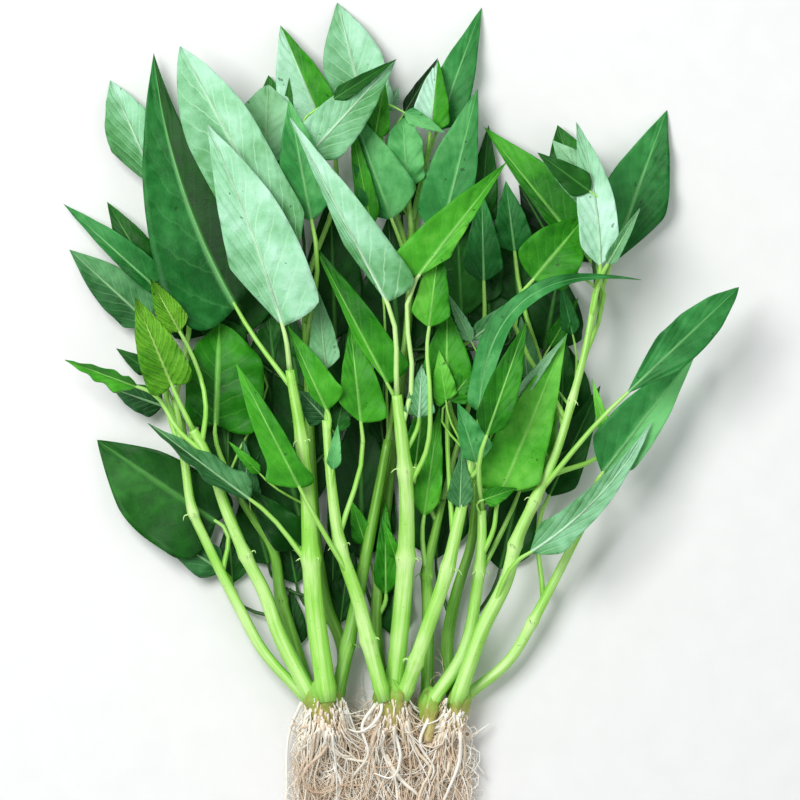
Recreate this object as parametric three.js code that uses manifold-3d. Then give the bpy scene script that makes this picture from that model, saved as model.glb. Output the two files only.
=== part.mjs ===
// Water spinach: a rooted clump that lies flat, its roots towards -Y and its leaves fanned out towards +Y.
// Millimetres, +Z up. The surface that it rests on is z = 0 in the tables.
import * as THREE from 'three';
import Module from 'manifold-3d';

const wasm = await Module();
wasm.setup();

// Driving dimensions
const gap = 0.3; // between two pieces that touch
const bladeThickness = 0.8;
const midribThickness = 1.5;
const stalkRadius = 1.3; // a leaf stalk, at its foot
const stalkEndRadius = 0.9;
const stalkSides = 6;
const stalkInset = 1.5; // how far a stalk stays short of its blade's base
const freeFoot = 0.35; // from a stem's end to the foot of a stalk that leaves straight out of it
const stemSides = 7;
const curveSteps = 120; // along a stem when its nearest point is looked for
const liftStep = 1.5; // a leaf rises by such steps until it clears what lies below it
const highestLift = 75;
const roughness = { stem: 0.45, leaf: 0.5, root: 0.8 };
const sliver = 0.002; // cubic millimetres, below which two solids don't overlap
const shortEdge = 0.04; // edges and faces finer than these are left over from cuts, and are merged away
const flatFace = 0.012;
const mostTurns = 40; // of flat faces in one solid

// Stations along a blade, from its lobes to just before its tip
const bladeStations = [0, 0.16, 0.36, 0.58, 0.78, 0.92];
const smallBladeStations = [0, 0.28, 0.68];

const greens = {
  upper: 0x3f8a4c,
  bright: 0x58a83a,
  dark: 0x1f5a1c,
  under: 0xa9d9bd,
  grey: 0x6f9c7e,
  young: 0x8cc63f,
  stem: 0x9be060,
  shadedStem: 0x5c9a2a,
  crown: 0xb9cc76,
  root: 0xdcc3a0,
};

// Main stems: each path point is x, y, height and radius, from the crown upwards
const stems = [
  { name: 'stem_left_low', colour: 'shadedStem', path: [
    [-46, -144, 8, 3.2], [-55, -115, 8, 3], [-59.5, -100, 8, 3], [-64, -74, 9, 2.8], [-76, -55, 11, 2.4],
    [-86, -38, 14, 2],
  ] },
  { name: 'stem_under_left', colour: 'shadedStem', path: [
    [-30.5, -146, 9, 3], [-28.5, -127.5, 7, 3], [-37, -102, 7, 3], [-41, -80, 8, 3], [-44, -40, 9, 2.6],
    [-46, 10, 11, 2.2], [-48, 56, 14, 1.8],
  ] },
  { name: 'stem_under_centre', colour: 'shadedStem', path: [
    [-9, -146, 6, 3], [-12, -110, 6, 3], [-9, -75, 6, 2.8], [-3, -20, 8, 2.5], [4, 40, 10, 2.2],
    [6, 90, 12, 1.8],
  ] },
  { name: 'stem_under_right', colour: 'shadedStem', path: [
    [26.5, -147, 6.5, 3.2], [23.5, -127.5, 6, 3.3], [27.5, -100, 7, 3], [36, -70, 8, 2.4],
    [38, -40, 10, 2],
  ] },
  { name: 'stem_inner_left_low', colour: 'shadedStem', path: [
    [-31, -146, 17, 3.4], [-26, -122, 15.5, 3.4], [-20.5, -95, 15, 3.2], [-13.5, -60, 16, 2.8],
    [-6, -20, 18, 2.2],
  ] },
  { name: 'stem_far_left', colour: 'stem', path: [
    [-49.5, -147, 14, 2.6], [-69, -125, 15, 2.7], [-80, -105, 15, 2.7], [-97.5, -70, 16, 2.5],
    [-103.5, -56.5, 17, 2.6], [-107.5, -32.5, 19, 2.2], [-112.5, 0, 20, 1.8],
  ] },
  { name: 'stem_left', colour: 'stem', path: [
    [-46.5, -145, 20.5, 3.8], [-61, -116, 22, 3.7], [-67.5, -97.5, 23, 3.5], [-77.5, -77.5, 25, 3.2],
    [-86, -57.5, 27, 3], [-98.5, -23.5, 31, 2.5], [-103.5, -15, 32, 2.4],
  ] },
  { name: 'stem_front_left', colour: 'stem', path: [
    [-37, -144, 27, 5], [-43, -100, 27, 4.8], [-44.5, -79, 28, 4.6], [-46, -50, 31, 3.8],
    [-48.5, -25, 35, 3.2], [-55, 15, 44, 2.2],
  ] },
  { name: 'stem_inner_left', colour: 'stem', path: [
    [-9.5, -144, 24, 3.8], [-16, -120, 26, 3.8], [-21, -100, 27, 3.6], [-30, -72.5, 29, 3.2],
    [-34, -45, 33, 2.6], [-37, -10, 38, 2],
  ] },
  { name: 'stem_centre', colour: 'stem', path: [
    [-3, -144, 14, 4.6], [1.5, -100, 20, 4.4], [3, -78.5, 24, 4.5], [3.5, -60, 29, 4], [3, -40, 35, 3.8],
    [0.5, -15, 42, 3.2], [-1.5, 2.5, 46, 2.6],
  ] },
  { name: 'stem_right_low', colour: 'shadedStem', path: [
    [13.5, -150, 9, 3.1], [14, -100, 11, 3], [13.5, -87.5, 12, 3], [18, -65, 15, 2.2],
    [21.5, -50, 17, 1.7],
  ] },
  { name: 'stem_inner_right', colour: 'stem', path: [
    [3.5, -144, 21, 3.7], [8, -131, 25, 3.7], [13.5, -115, 27, 3.7], [23, -87.5, 29, 3.5],
    [30, -57.5, 31, 3], [36, -30, 34, 2.3],
  ] },
  { name: 'stem_right_mid', colour: 'stem', path: [
    [17.5, -149, 15, 3.4], [31.5, -127.5, 13.5, 3.3], [38.5, -95, 15, 3], [41, -70, 20, 2.6],
    [41, -55, 23, 2.2],
  ] },
  { name: 'stem_far_right', colour: 'stem', path: [
    [33.5, -148, 9, 2.8], [55, -130, 10, 2.7], [66.5, -111, 12, 2.7], [75, -95, 13, 2.5],
    [86.5, -72.5, 15, 2.2], [94, -57.5, 17, 2], [98, -43, 19, 1.8],
  ] },
  { name: 'stem_right', colour: 'stem', path: [
    [30, -146, 20, 3.8], [41, -115, 22, 3.7], [54, -87.5, 25, 3.4], [57.5, -72.5, 26, 3.3],
    [67.5, -50, 29, 2.8], [77.5, -27.5, 32, 2.3], [86, 0, 35, 2], [92.5, 25, 37, 1.7], [98, 56, 39, 1.5],
  ] },
];

// Leaves, from the lowest to the topmost. A leaf's stalk starts on its stem near foot, its blade runs from
// base to tip (x, y, height). width is the blade's own, roll tips its right side up and fold closes it along
// the midrib, both in degrees. bend and arch bow the midrib sideways and up, in millimetres. belly is where
// it is widest and lobe how far its two lobes reach back, as shares of its length. sides are its left and
// right half's shares of the half width. swing is how long its stalk runs in line with the blade. A leaf that
// lies touches the surface. fused leaves are small ones that are part of their stem's solid.
const leaves = [
  { name: 'leaf_low_left_grey', on: 'stem_far_left', fused: true, foot: [-84, -97], base: [-89, -86, 7],
    tip: [-128, -60, 1.5], lies: true, width: 18, look: 'grey' },
  { name: 'leaf_low_left', on: 'stem_far_left', foot: [-88, -88], base: [-92, -61, 7],
    tip: [-152, -20, 1], lies: true, width: 38, sides: [1.2, 0.85], arch: 1, taper: 2, look: 'dark' },
  { name: 'leaf_left_dark', on: 'stem_far_left', fused: true, foot: [-107, -38], base: [-119, -3, 8],
    tip: [-143.5, 5.5, 4], width: 15, taper: 2.5, look: 'grey' },
  { name: 'leaf_left_grey', on: 'stem_far_left', foot: [-108, -30], via: [[-116, -7, 17]],
    base: [-125, 38, 9], tip: [-166, 75.5, 1], lies: true, width: 23, sides: [0.9, 1.05], arch: 3,
    belly: 0.35, taper: 1.7, swing: 0.08, look: 'grey' },
  { name: 'leaf_left_back_small', on: 'stem_far_left', fused: true, foot: [-107, -35],
    via: [[-103, 8, 13]], base: [-126, 65, 7], tip: [-147, 99.5, 2], width: 18, look: 'dark' },
  { name: 'leaf_left_back', on: 'stem_far_left', foot: [-110, -17], via: [[-117, 1, 22]],
    base: [-124, 58, 12], tip: [-169, 98.5, 4], width: 16, sides: [0.6, 1.2], lobe: 0.04, swing: 0.08,
    look: 'upper' },
  { name: 'leaf_top_left_pale', on: 'stem_far_left', foot: [-112.5, 0], via: [[-105, 45, 18]],
    base: [-120, 104, 10], tip: [-145.5, 160.5, 1], width: 24, belly: 0.45, taper: 1.6, look: 'under' },
  { name: 'leaf_top_right', on: 'stem_right', foot: [94, 32], base: [105.5, 67.5, 9],
    tip: [134, 145.5, 1], lies: true, width: 36, arch: 2, belly: 0.38, look: 'upper' },
  { name: 'leaf_top_tall_right', on: 'stem_under_centre', foot: [5, 58], base: [18.5, 135, 8],
    tip: [41, 197, 1], lies: true, width: 23, belly: 0.4, look: 'upper' },
  { name: 'leaf_top_pale', on: 'stem_under_centre', foot: [5, 70], base: [-15, 136, 8],
    tip: [-31.5, 199.5, 1], lies: true, width: 31, belly: 0.5, taper: 1.6, look: 'under' },
  { name: 'leaf_top_folded', on: 'stem_under_left', foot: [-48, 54], base: [-37, 133, 9],
    tip: [-60, 188, 3], lies: true, width: 27, sides: [1.3, 0.85], fold: 14, belly: 0.3, look: 'under' },
  { name: 'leaf_between_stems', on: 'stem_under_centre', fused: true, foot: [-11, -108],
    base: [-7, -98, 9], tip: [-7.5, -50, 12], width: 12, look: 'bright' },
  { name: 'leaf_low_dark', on: 'stem_under_left', fused: true, foot: [-38, -98], base: [-50, -74, 14],
    tip: [-78, -43, 15], width: 20, look: 'dark' },
  { name: 'leaf_right_low_dark', on: 'stem_far_right', fused: true, foot: [72, -101],
    base: [74.5, -48.5, 12], tip: [100.5, 7.5, 8], width: 21, look: 'dark' },
  { name: 'leaf_right_back', on: 'stem_right', foot: [88, 8], base: [96, 69, 14], tip: [42, 137, 6],
    width: 31, sides: [0.35, 1.1], belly: 0.35, lobe: 0.02, swing: 0.06, look: 'bright' },
  { name: 'leaf_right_back_grey', on: 'stem_right', fused: true, foot: [81, -15], base: [57.5, 74, 16],
    tip: [53, 110, 12], width: 19, look: 'upper' },
  { name: 'leaf_inner_right_dark', on: 'stem_right_low', foot: [21.5, -50], base: [42, 59, 14],
    tip: [41, 105, 10], width: 19, look: 'upper' },
  { name: 'leaf_top_right_inner', on: 'stem_under_centre', foot: [5, 66], base: [20, 80, 18],
    tip: [39, 156, 12], width: 28, sides: [1.1, 0.75], belly: 0.35, look: 'upper' },
  { name: 'leaf_top_small_folded', on: 'stem_under_centre', foot: [6, 89], base: [15, 134, 16],
    tip: [19, 171, 10], width: 20, sides: [1, 0.9], fold: 16, look: 'under' },
  { name: 'leaf_crinkled', on: 'stem_under_centre', fused: true, foot: [6, 84], base: [4, 106, 20],
    tip: [1.5, 141.5, 18], width: 18, belly: 0.6, taper: 2.4, look: 'upper' },
  { name: 'leaf_centre_back', on: 'stem_inner_left_low', foot: [-6, -20], base: [-4, 90, 20],
    tip: [-25, 147, 12], width: 31, sides: [0.8, 1.1], belly: 0.18, taper: 1.4, look: 'upper' },
  { name: 'leaf_crinkled_left', on: 'stem_under_left', fused: true, foot: [-48, 50],
    base: [-67.5, 117.5, 14], tip: [-66, 158, 8], width: 26, belly: 0.5, taper: 3, look: 'grey' },
  { name: 'leaf_top_slanting', on: 'stem_under_left', foot: [-47.5, 44], base: [-47, 121, 22],
    tip: [-2, 170, 16], width: 25, fold: 8, belly: 0.3, look: 'under' },
  { name: 'leaf_centre_left', on: 'stem_under_left', foot: [-47, 28], base: [-44, 89, 26],
    tip: [-55.5, 150, 18], width: 24, belly: 0.35, look: 'upper' },
  { name: 'leaf_left_broad', on: 'stem_left_low', foot: [-86, -38], base: [-92.5, -12.5, 17],
    tip: [-90.5, 39, 14], width: 42, sides: [0.75, 1.15], belly: 0.5, taper: 2.6, look: 'upper' },
  { name: 'leaf_left_large', on: 'stem_front_left', foot: [-53, 4], base: [-82, 46.5, 26],
    tip: [-123.5, 174, 8], width: 58, sides: [1, 0.65], bend: 7, belly: 0.22, lobe: 0.04, taper: 1.3,
    look: 'upper' },
  { name: 'leaf_left_large_pale', on: 'stem_under_left', foot: [-47.5, 40], base: [-52.5, 71, 34],
    tip: [-110, 177, 16], width: 31, belly: 0.5, taper: 2, look: 'under' },
  { name: 'leaf_pointing_left', on: 'stem_left', foot: [-97, -27], via: [[-110, -16, 30]],
    base: [-131.5, 6.5, 30], tip: [-168, 20, 18], width: 15, roll: 50, look: 'bright' },
  { name: 'leaf_young_back', on: 'stem_left', fused: true, foot: [-99.5, -22], via: [[-97, -3, 34]],
    base: [-110, 34, 34], tip: [-125, 61, 28], width: 15, look: 'young' },
  { name: 'leaf_young_veined', on: 'stem_left', foot: [-103.5, -15], base: [-114, 7.5, 38],
    tip: [-132.5, 51.5, 32], width: 24, belly: 0.2, lobe: 0.15, taper: 2, look: 'young' },
  { name: 'leaf_left_narrow', on: 'stem_front_left', foot: [-44.5, -85], base: [-74.5, -50, 36],
    tip: [-126, -11.5, 30], width: 19, roll: -45, look: 'grey' },
  { name: 'leaf_inner_left_grey', on: 'stem_inner_left', fused: true, foot: [-36.5, -14],
    base: [-37, 15, 34], tip: [-41, 55, 28], width: 15, look: 'grey' },
  { name: 'leaf_inner_centre', on: 'stem_inner_left', foot: [-31, -68], base: [-19.5, -11.5, 35],
    tip: [-25, 39, 30], width: 23, belly: 0.35, look: 'bright' },
  { name: 'leaf_inner_left', on: 'stem_inner_left', foot: [-36.5, -17], base: [-36.5, -5.5, 40],
    tip: [-56.5, 37.5, 34], width: 18, sides: [0.45, 1.25], lobe: 0.03, look: 'bright' },
  { name: 'leaf_front_low', on: 'stem_inner_left', foot: [-24, -90], base: [-50, -44, 45],
    tip: [-82, 18.5, 42], width: 20, belly: 0.14, lobe: 0.1, taper: 1.3, look: 'bright' },
  { name: 'leaf_right_inner_grey', on: 'stem_under_right', foot: [38, -40], base: [35.5, 30, 22],
    tip: [72.5, 57.5, 20], width: 11, look: 'grey' },
  { name: 'leaf_right_short', on: 'stem_right', foot: [83, -10], base: [66.5, 60, 30], tip: [93, 92, 22],
    width: 31, belly: 0.15, lobe: 0.3, taper: 2, look: 'bright' },
  { name: 'leaf_low_centre', on: 'stem_right_low', fused: true, foot: [14, -89], base: [12, -58.5, 22],
    tip: [20, -2.5, 22], width: 14, look: 'bright' },
  { name: 'leaf_low_centre_dark', on: 'stem_right_low', fused: true, foot: [19, -62],
    base: [8, -32.5, 18], tip: [12, 2, 16], width: 14, look: 'dark' },
  { name: 'leaf_inner_right', on: 'stem_inner_right', fused: true, foot: [26.5, -72], base: [23.5, 0, 36],
    tip: [23.5, 46, 34], width: 29, belly: 0.35, look: 'bright' },
  { name: 'leaf_long_dark', on: 'stem_centre', foot: [2, -45], base: [-6, 7.5, 39],
    tip: [-43.5, 78.5, 36], width: 21, sides: [0.4, 1.25], look: 'bright' },
  { name: 'leaf_small_pale', on: 'stem_centre', fused: true, foot: [2, -27], base: [9.5, -9, 37],
    tip: [11, 18, 37], width: 8.5, look: 'under' },
  { name: 'leaf_lime_narrow', on: 'stem_centre', fused: true, foot: [3, -44],
    via: [[11.5, -26, 40], [17.5, 2, 48]], base: [14.5, 36, 50], tip: [20, 83, 46], width: 19,
    belly: 0.22, look: 'bright' },
  { name: 'leaf_right_mid', on: 'stem_right_mid', foot: [39, -90], base: [59.5, -46.5, 17],
    tip: [80.5, 7, 14], width: 21, look: 'bright' },
  { name: 'leaf_right_rim', on: 'stem_right', fused: true, foot: [72, -40], base: [103, -17, 26],
    tip: [96, 11, 28], width: 6, lobe: 0, look: 'bright' },
  { name: 'leaf_right_long', on: 'stem_inner_right', foot: [36, -30], base: [39.5, -6, 40],
    tip: [120.5, 60, 40], width: 15, roll: 35, bend: 29, belly: 0.1, lobe: 0.03, look: 'upper' },
  { name: 'leaf_small_arrow', on: 'stem_inner_right', fused: true, foot: [34, -40],
    base: [38.5, -31.5, 41], tip: [28.5, -1, 45], width: 17, look: 'upper' },
  { name: 'leaf_right_large', on: 'stem_right_mid', foot: [40.5, -80], via: [[47, -64, 24]],
    base: [51, -46, 28], tip: [83.5, 33.5, 34], width: 25, sides: [0.85, 1.1], belly: 0.3,
    look: 'bright' },
  { name: 'leaf_right_olive', on: 'stem_right_mid', foot: [41, -55], base: [43, -18.5, 42],
    tip: [63, 39, 42], width: 17, belly: 0.35, look: 'bright' },
  { name: 'leaf_far_right_pale', on: 'stem_far_right', foot: [98, -43], base: [101, -37, 22],
    tip: [148.5, 24, 6], width: 24, sides: [1.1, 0.8], belly: 0.3, look: 'grey' },
  { name: 'leaf_far_right', on: 'stem_right', foot: [69, -48], base: [113, 3, 34], tip: [169.5, 56.5, 24],
    width: 21, belly: 0.42, taper: 2, look: 'upper' },
  { name: 'leaf_right_low_pale', on: 'stem_right', foot: [46, -106], base: [64.5, -76.5, 30],
    tip: [126, -10.5, 24], width: 16, bend: -6, belly: 0.35, look: 'under' },
  { name: 'leaf_right_cupped', on: 'stem_right', foot: [98, 56], base: [100, 66.5, 40],
    tip: [88, 139, 32], width: 20, fold: 16, bend: -3, belly: 0.38, look: 'under' },
  { name: 'leaf_right_rolled', on: 'stem_right', fused: true, foot: [95, 40], base: [103.5, 67.5, 46],
    tip: [120, 96, 42], width: 8, fold: 40, lobe: 0, look: 'grey' },
  { name: 'leaf_top_front', on: 'stem_centre', foot: [0.5, -14], via: [[5.5, 4, 47]], base: [9, 61.5, 58],
    tip: [53.5, 119, 50], width: 28, sides: [1.1, 0.45], fold: 10, belly: 0.35, lobe: 0.06,
    look: 'bright' },
  { name: 'leaf_centre_bright', on: 'stem_centre', foot: [-1.5, 2.5], base: [-6.5, 48.5, 60],
    tip: [-55, 141, 56], width: 28, sides: [0.45, 1.2], fold: 10, belly: 0.18, lobe: 0.05, swing: 0.3,
    look: 'under' },
  { name: 'leaf_front_pale', on: 'stem_front_left', foot: [-55, 15], base: [-58.5, 36.5, 54],
    tip: [-96.5, 138, 50], width: 39, sides: [0.85, 1.12], bend: -2, belly: 0.35, lobe: 0.03, taper: 1.9,
    look: 'under' },
];

const leafDefaults = { fused: false, lies: false, roll: 0, fold: 12, bend: 0, arch: 5, belly: 0.25,
  lobe: 0.12, taper: 1.5, sides: [1, 1], swing: 0.22 };
const baseShare = 0.85; // a blade's width at its base, as a share of its widest
const lobeTipShare = 0.7; // how far out a lobe's tip is, as a share of the half width

// Root crowns: x, y of the lower and upper end, height of the middle, and half width and half height
const crowns = [
  { name: 'crown_left', from: [-37, -164], to: [-40, -142], height: 17, halfWidth: 12.5, halfHeight: 14 },
  { name: 'crown_centre', from: [-4, -165], to: [-5, -141.5], height: 15, halfWidth: 10.5, halfHeight: 12.5 },
  { name: 'crown_inner_right', from: [14, -168], to: [14.5, -146.5], height: 12, halfWidth: 6.8,
    halfHeight: 8 },
  { name: 'crown_right', from: [27, -165], to: [30, -144], height: 13, halfWidth: 7.2, halfHeight: 11 },
];
// A crown's width from its lower end to its upper, as shares of the widest
const crownProfile = [0.4, 0.62, 1, 0.92];
const crownSides = 10;

// Root tufts, each a bunch of flat-bottomed fingers: x, y of the upper end and of the tip, width and height
const tufts = [
  { name: 'roots_left', fingers: [
    [-50, -152, -58, -204, 12, 9], [-43, -153, -49, -217, 15, 13], [-36, -153, -40, -227, 16, 15],
    [-30, -153, -31, -219, 13, 12],
  ] },
  { name: 'roots_centre', fingers: [
    [-13, -153, -17, -223, 11, 10], [-6, -153, -9, -228, 14, 15], [1, -153, -1, -221, 12, 12],
  ] },
  { name: 'roots_right', fingers: [
    [15, -157, 13, -219, 12, 10], [22, -157, 22, -223, 15, 13], [29, -154, 33, -215, 14, 12],
    [35, -153, 45, -197, 11, 8],
  ] },
];
// Along a finger: how far down it, and its width and height there as shares of its largest
const fingerProfile = [[0, 0.75, 0.6], [0.3, 1, 1], [0.62, 0.85, 0.7], [0.86, 0.5, 0.35], [1, 0.18, 0.12]];
const fingerShoulder = 0.5; // height of its sides, as a share of its top
const fingerFlat = 0.4; // half width of its flat top, as a share of its half width

const vector = (x, y, z) => new THREE.Vector3(x, y, z);
const radians = (degrees) => THREE.MathUtils.degToRad(degrees);

// A closed solid through rings of equal counts; the last ring may be a single point
function loft(rings) {
  const points = rings.flat();
  const count = rings[0].length;
  const faces = [];
  for (let i = 1; i + 1 < count; i += 1) faces.push([0, i + 1, i]);
  rings.slice(1).forEach((ring, r) => {
    const here = r * count;
    const next = here + count;
    for (let i = 0; i < count; i += 1) {
      const j = (i + 1) % count;
      if (ring.length === 1) faces.push([here + i, here + j, next]);
      else faces.push([here + i, here + j, next + j], [here + i, next + j, next + i]);
    }
  });
  if (rings.at(-1).length > 1) {
    const last = points.length - count;
    for (let i = 1; i + 1 < count; i += 1) faces.push([last, last + i, last + i + 1]);
  }
  const volume = faces.reduce((sum, [a, b, c]) => (
    sum + points[a].dot(points[b].clone().cross(points[c]))), 0);
  if (volume < 0) faces.forEach((face) => face.reverse());
  return new wasm.Manifold(new wasm.Mesh({
    numProp: 3,
    vertProperties: new Float32Array(points.flatMap((p) => [p.x, p.y, p.z])),
    triVerts: new Uint32Array(faces.flat()),
  }));
}

// Sideways and upward directions of something that runs along tangent, tipped by roll degrees
function across(tangent, roll = 0) {
  const side = vector(tangent.y, -tangent.x, 0).normalize();
  const up = side.clone().cross(tangent).normalize();
  side.applyAxisAngle(tangent, -radians(roll));
  up.applyAxisAngle(tangent, -radians(roll));
  return { side, up };
}

function ringAround(point, { side, up }, radius, sides) {
  return Array.from({ length: sides }, (_, i) => {
    const angle = ((i + 0.5) / sides) * 2 * Math.PI;
    return point.clone().addScaledVector(side, radius * Math.cos(angle))
      .addScaledVector(up, radius * Math.sin(angle));
  });
}

// Stems
function stemCurve(stem) {
  return new THREE.CatmullRomCurve3(stem.path.map(([x, y, z]) => vector(x, y, z)), false, 'centripetal');
}

// growth widens the stem all round, for cutting its clearance out of a neighbour
function stemSolid(stem, growth = 0) {
  const curve = stemCurve(stem);
  const last = stem.path.length - 1;
  const stations = last + 3;
  const rings = Array.from({ length: stations }, (_, i) => {
    const t = i / (stations - 1);
    const index = Math.min(Math.floor(t * last), last - 1);
    const radius = THREE.MathUtils.lerp(stem.path[index][3], stem.path[index + 1][3], t * last - index);
    const point = curve.getPoint(t);
    const tangent = curve.getTangent(t);
    if (i === 0) point.addScaledVector(tangent, -growth);
    if (i === stations - 1) point.addScaledVector(tangent, growth);
    return ringAround(point, across(tangent), radius + growth, stemSides);
  });
  return loft(rings);
}

// The point of a stem's middle line that is nearest to x, y in plan
function nearestOn(stem, [x, y]) {
  const points = stemCurve(stem).getPoints(curveSteps);
  return points.reduce((best, p) => (
    Math.hypot(p.x - x, p.y - y) < Math.hypot(best.x - x, best.y - y) ? p : best));
}

// Leaves
function halfWidth(leaf, s, side) {
  const widest = (leaf.width / 2) * leaf.sides[side];
  if (s >= leaf.belly) return widest * (1 - ((s - leaf.belly) / (1 - leaf.belly)) ** leaf.taper);
  const towardsBase = Math.min((leaf.belly - s) / leaf.belly, 1);
  return widest * (1 - (1 - baseShare) * towardsBase ** 2);
}

function midrib(leaf, lift) {
  const base = vector(...leaf.base);
  const tip = vector(...leaf.tip);
  base.z += lift;
  tip.z += lift;
  const run = tip.clone().sub(base);
  const sideways = vector(-run.y, run.x, 0).normalize().multiplyScalar(leaf.bend);
  const middle = base.clone().add(tip).multiplyScalar(0.5).add(sideways);
  middle.z += leaf.arch;
  const control = middle.multiplyScalar(2).sub(base.clone().add(tip).multiplyScalar(0.5));
  return new THREE.QuadraticBezierCurve3(base, control, tip);
}

function leafSolid(leaf, stem, lift) {
  const rib = midrib(leaf, lift);
  const length = rib.getLength();
  const base = rib.getPoint(0);
  const start = rib.getTangent(0);
  const foot = nearestOn(stem, leaf.foot);
  const stemEnd = stemCurve(stem).getPoint(1);
  const stemHeading = stemCurve(stem).getTangent(1);
  const isAtEnd = !leaf.fused && foot.distanceTo(stemEnd) < stalkEndRadius / 2;
  const heading = base.clone().sub(foot);
  if (isAtEnd) foot.copy(stemEnd).addScaledVector(stemHeading, freeFoot);
  const behind = base.clone().addScaledVector(start, -leaf.swing * heading.length());
  const passing = (leaf.via ?? []).map(([x, y, z]) => vector(x, y, z));
  const end = base.clone().addScaledVector(start, -stalkInset);
  const stalk = new THREE.CatmullRomCurve3([foot, ...passing, behind, end]);
  const rings = stalk.points.map((_, i) => {
    const t = i / (stalk.points.length - 1);
    const radius = THREE.MathUtils.lerp(stalkRadius, stalkEndRadius, t);
    const turn = t === 1 ? leaf.roll : 0;
    const tangent = isAtEnd && i === 0 ? stemHeading : stalk.getTangent(t);
    return ringAround(stalk.getPoint(t), across(tangent, turn), radius, stalkSides);
  });
  const stations = leaf.fused ? smallBladeStations : bladeStations;
  for (const v of stations) {
    const { side, up } = across(rib.getTangent(v), leaf.roll);
    const s = v - leaf.lobe * (1 - v);
    const edgeSpot = s < 0 ? base.clone().addScaledVector(start, s * length) : rib.getPoint(s);
    const [left, right] = [0, 1].map((half) => {
      const reach = halfWidth(leaf, s, half) * (v === 0 ? lobeTipShare : 1);
      const out = reach * Math.cos(radians(leaf.fold)) * (half === 0 ? -1 : 1);
      return edgeSpot.clone().addScaledVector(side, out)
        .addScaledVector(up, reach * Math.sin(radians(leaf.fold)));
    });
    const middle = rib.getPoint(v);
    const raised = (point, thickness) => point.clone().addScaledVector(up, thickness / 2);
    rings.push([
      raised(right, bladeThickness), raised(middle, midribThickness), raised(left, bladeThickness),
      raised(left, -bladeThickness), raised(middle, -midribThickness), raised(right, -bladeThickness),
    ]);
  }
  rings.push([rib.getPoint(1)]);
  return loft(rings);
}

// What has been laid down so far
const laid = [];

function boxesMeet(a, b) {
  return [0, 1, 2].every((i) => a.min[i] <= b.max[i] && b.min[i] <= a.max[i]);
}

// Solids already laid that this one runs into, or comes closer to than the gap from above
function collisions(solid, ownStem) {
  const lowered = solid.translate([0, 0, -gap]);
  return laid.filter((other) => (
    other.name !== ownStem && [solid, lowered].some((shape) => (
      boxesMeet(shape.boundingBox(), other.box) && shape.intersect(other.solid).volume() > sliver))));
}

function lay(name, solid) {
  laid.push({ name, solid, box: solid.boundingBox() });
}

function crownSolid(crown, growth = 0) {
  const rings = crownProfile.map((share, i) => {
    const t = i / (crownProfile.length - 1);
    const x = THREE.MathUtils.lerp(crown.from[0], crown.to[0], t);
    const y = THREE.MathUtils.lerp(crown.from[1], crown.to[1], t) + (t * 2 - 1) * growth;
    return Array.from({ length: crownSides }, (_, k) => {
      const angle = (k / crownSides) * 2 * Math.PI;
      return vector(x + (crown.halfWidth * share + growth) * Math.cos(angle), y,
        crown.height + (crown.halfHeight * share + growth) * Math.sin(angle));
    });
  });
  return loft(rings);
}

// One bundle of roots: flat below at z = 0, highest along its middle, drawn out to a blunt tip
function fingerSolid([x, y, tipX, tipY, width, height]) {
  const rings = fingerProfile.map(([t, wide, high]) => {
    const middleX = THREE.MathUtils.lerp(x, tipX, t);
    const middleY = THREE.MathUtils.lerp(y, tipY, t);
    const half = (width / 2) * wide;
    const top = height * high;
    return [
      vector(middleX - half, middleY, 0), vector(middleX - half, middleY, top * fingerShoulder),
      vector(middleX - half * fingerFlat, middleY, top),
      vector(middleX + half * fingerFlat, middleY, top),
      vector(middleX + half, middleY, top * fingerShoulder), vector(middleX + half, middleY, 0),
    ];
  });
  return loft(rings);
}

// Triangles around each edge, found by the edge's two point numbers
function edgeMap(faces) {
  const map = new Map();
  for (const face of faces) {
    face.forEach((a, i) => {
      const b = face[(i + 1) % 3];
      const key = a < b ? `${a},${b}` : `${b},${a}`;
      map.set(key, [...(map.get(key) ?? []), face]);
    });
  }
  return map;
}

// Merges the ends of the first edge that is too short, if the surface stays whole
function mergeShortEdge(points, faces) {
  const edges = edgeMap(faces);
  const neighbours = (a) => new Set(faces.filter((face) => face.includes(a)).flat());
  for (const key of edges.keys()) {
    const [a, b] = key.split(',').map(Number);
    if (points[a].distanceTo(points[b]) >= shortEdge) continue;
    const others = neighbours(b);
    const shared = [...neighbours(a)].filter((c) => c !== a && c !== b && others.has(c));
    if (shared.length !== 2) continue;
    return faces.filter((face) => !(face.includes(a) && face.includes(b)))
      .map((face) => face.map((c) => (c === b ? a : c)));
  }
  return null;
}

// Turns the long edge of the first face that is too flat over to the face beyond it
function turnFlatFace(points, faces) {
  const edges = edgeMap(faces);
  for (const face of faces) {
    const lengths = face.map((a, i) => points[a].distanceTo(points[face[(i + 1) % 3]]));
    const longest = lengths.indexOf(Math.max(...lengths));
    const [a, b, c] = [0, 1, 2].map((i) => face[(longest + i) % 3]);
    const spread = points[b].clone().sub(points[a]).cross(points[c].clone().sub(points[a])).length();
    if (spread / lengths[longest] >= flatFace) continue;
    const beyond = edges.get(a < b ? `${a},${b}` : `${b},${a}`).find((other) => other !== face);
    const d = beyond.find((each) => each !== a && each !== b);
    if (edges.has(c < d ? `${c},${d}` : `${d},${c}`)) continue;
    return [...faces.filter((each) => each !== face && each !== beyond), [a, d, c], [d, b, c]];
  }
  return null;
}

const meshes = [];

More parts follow.
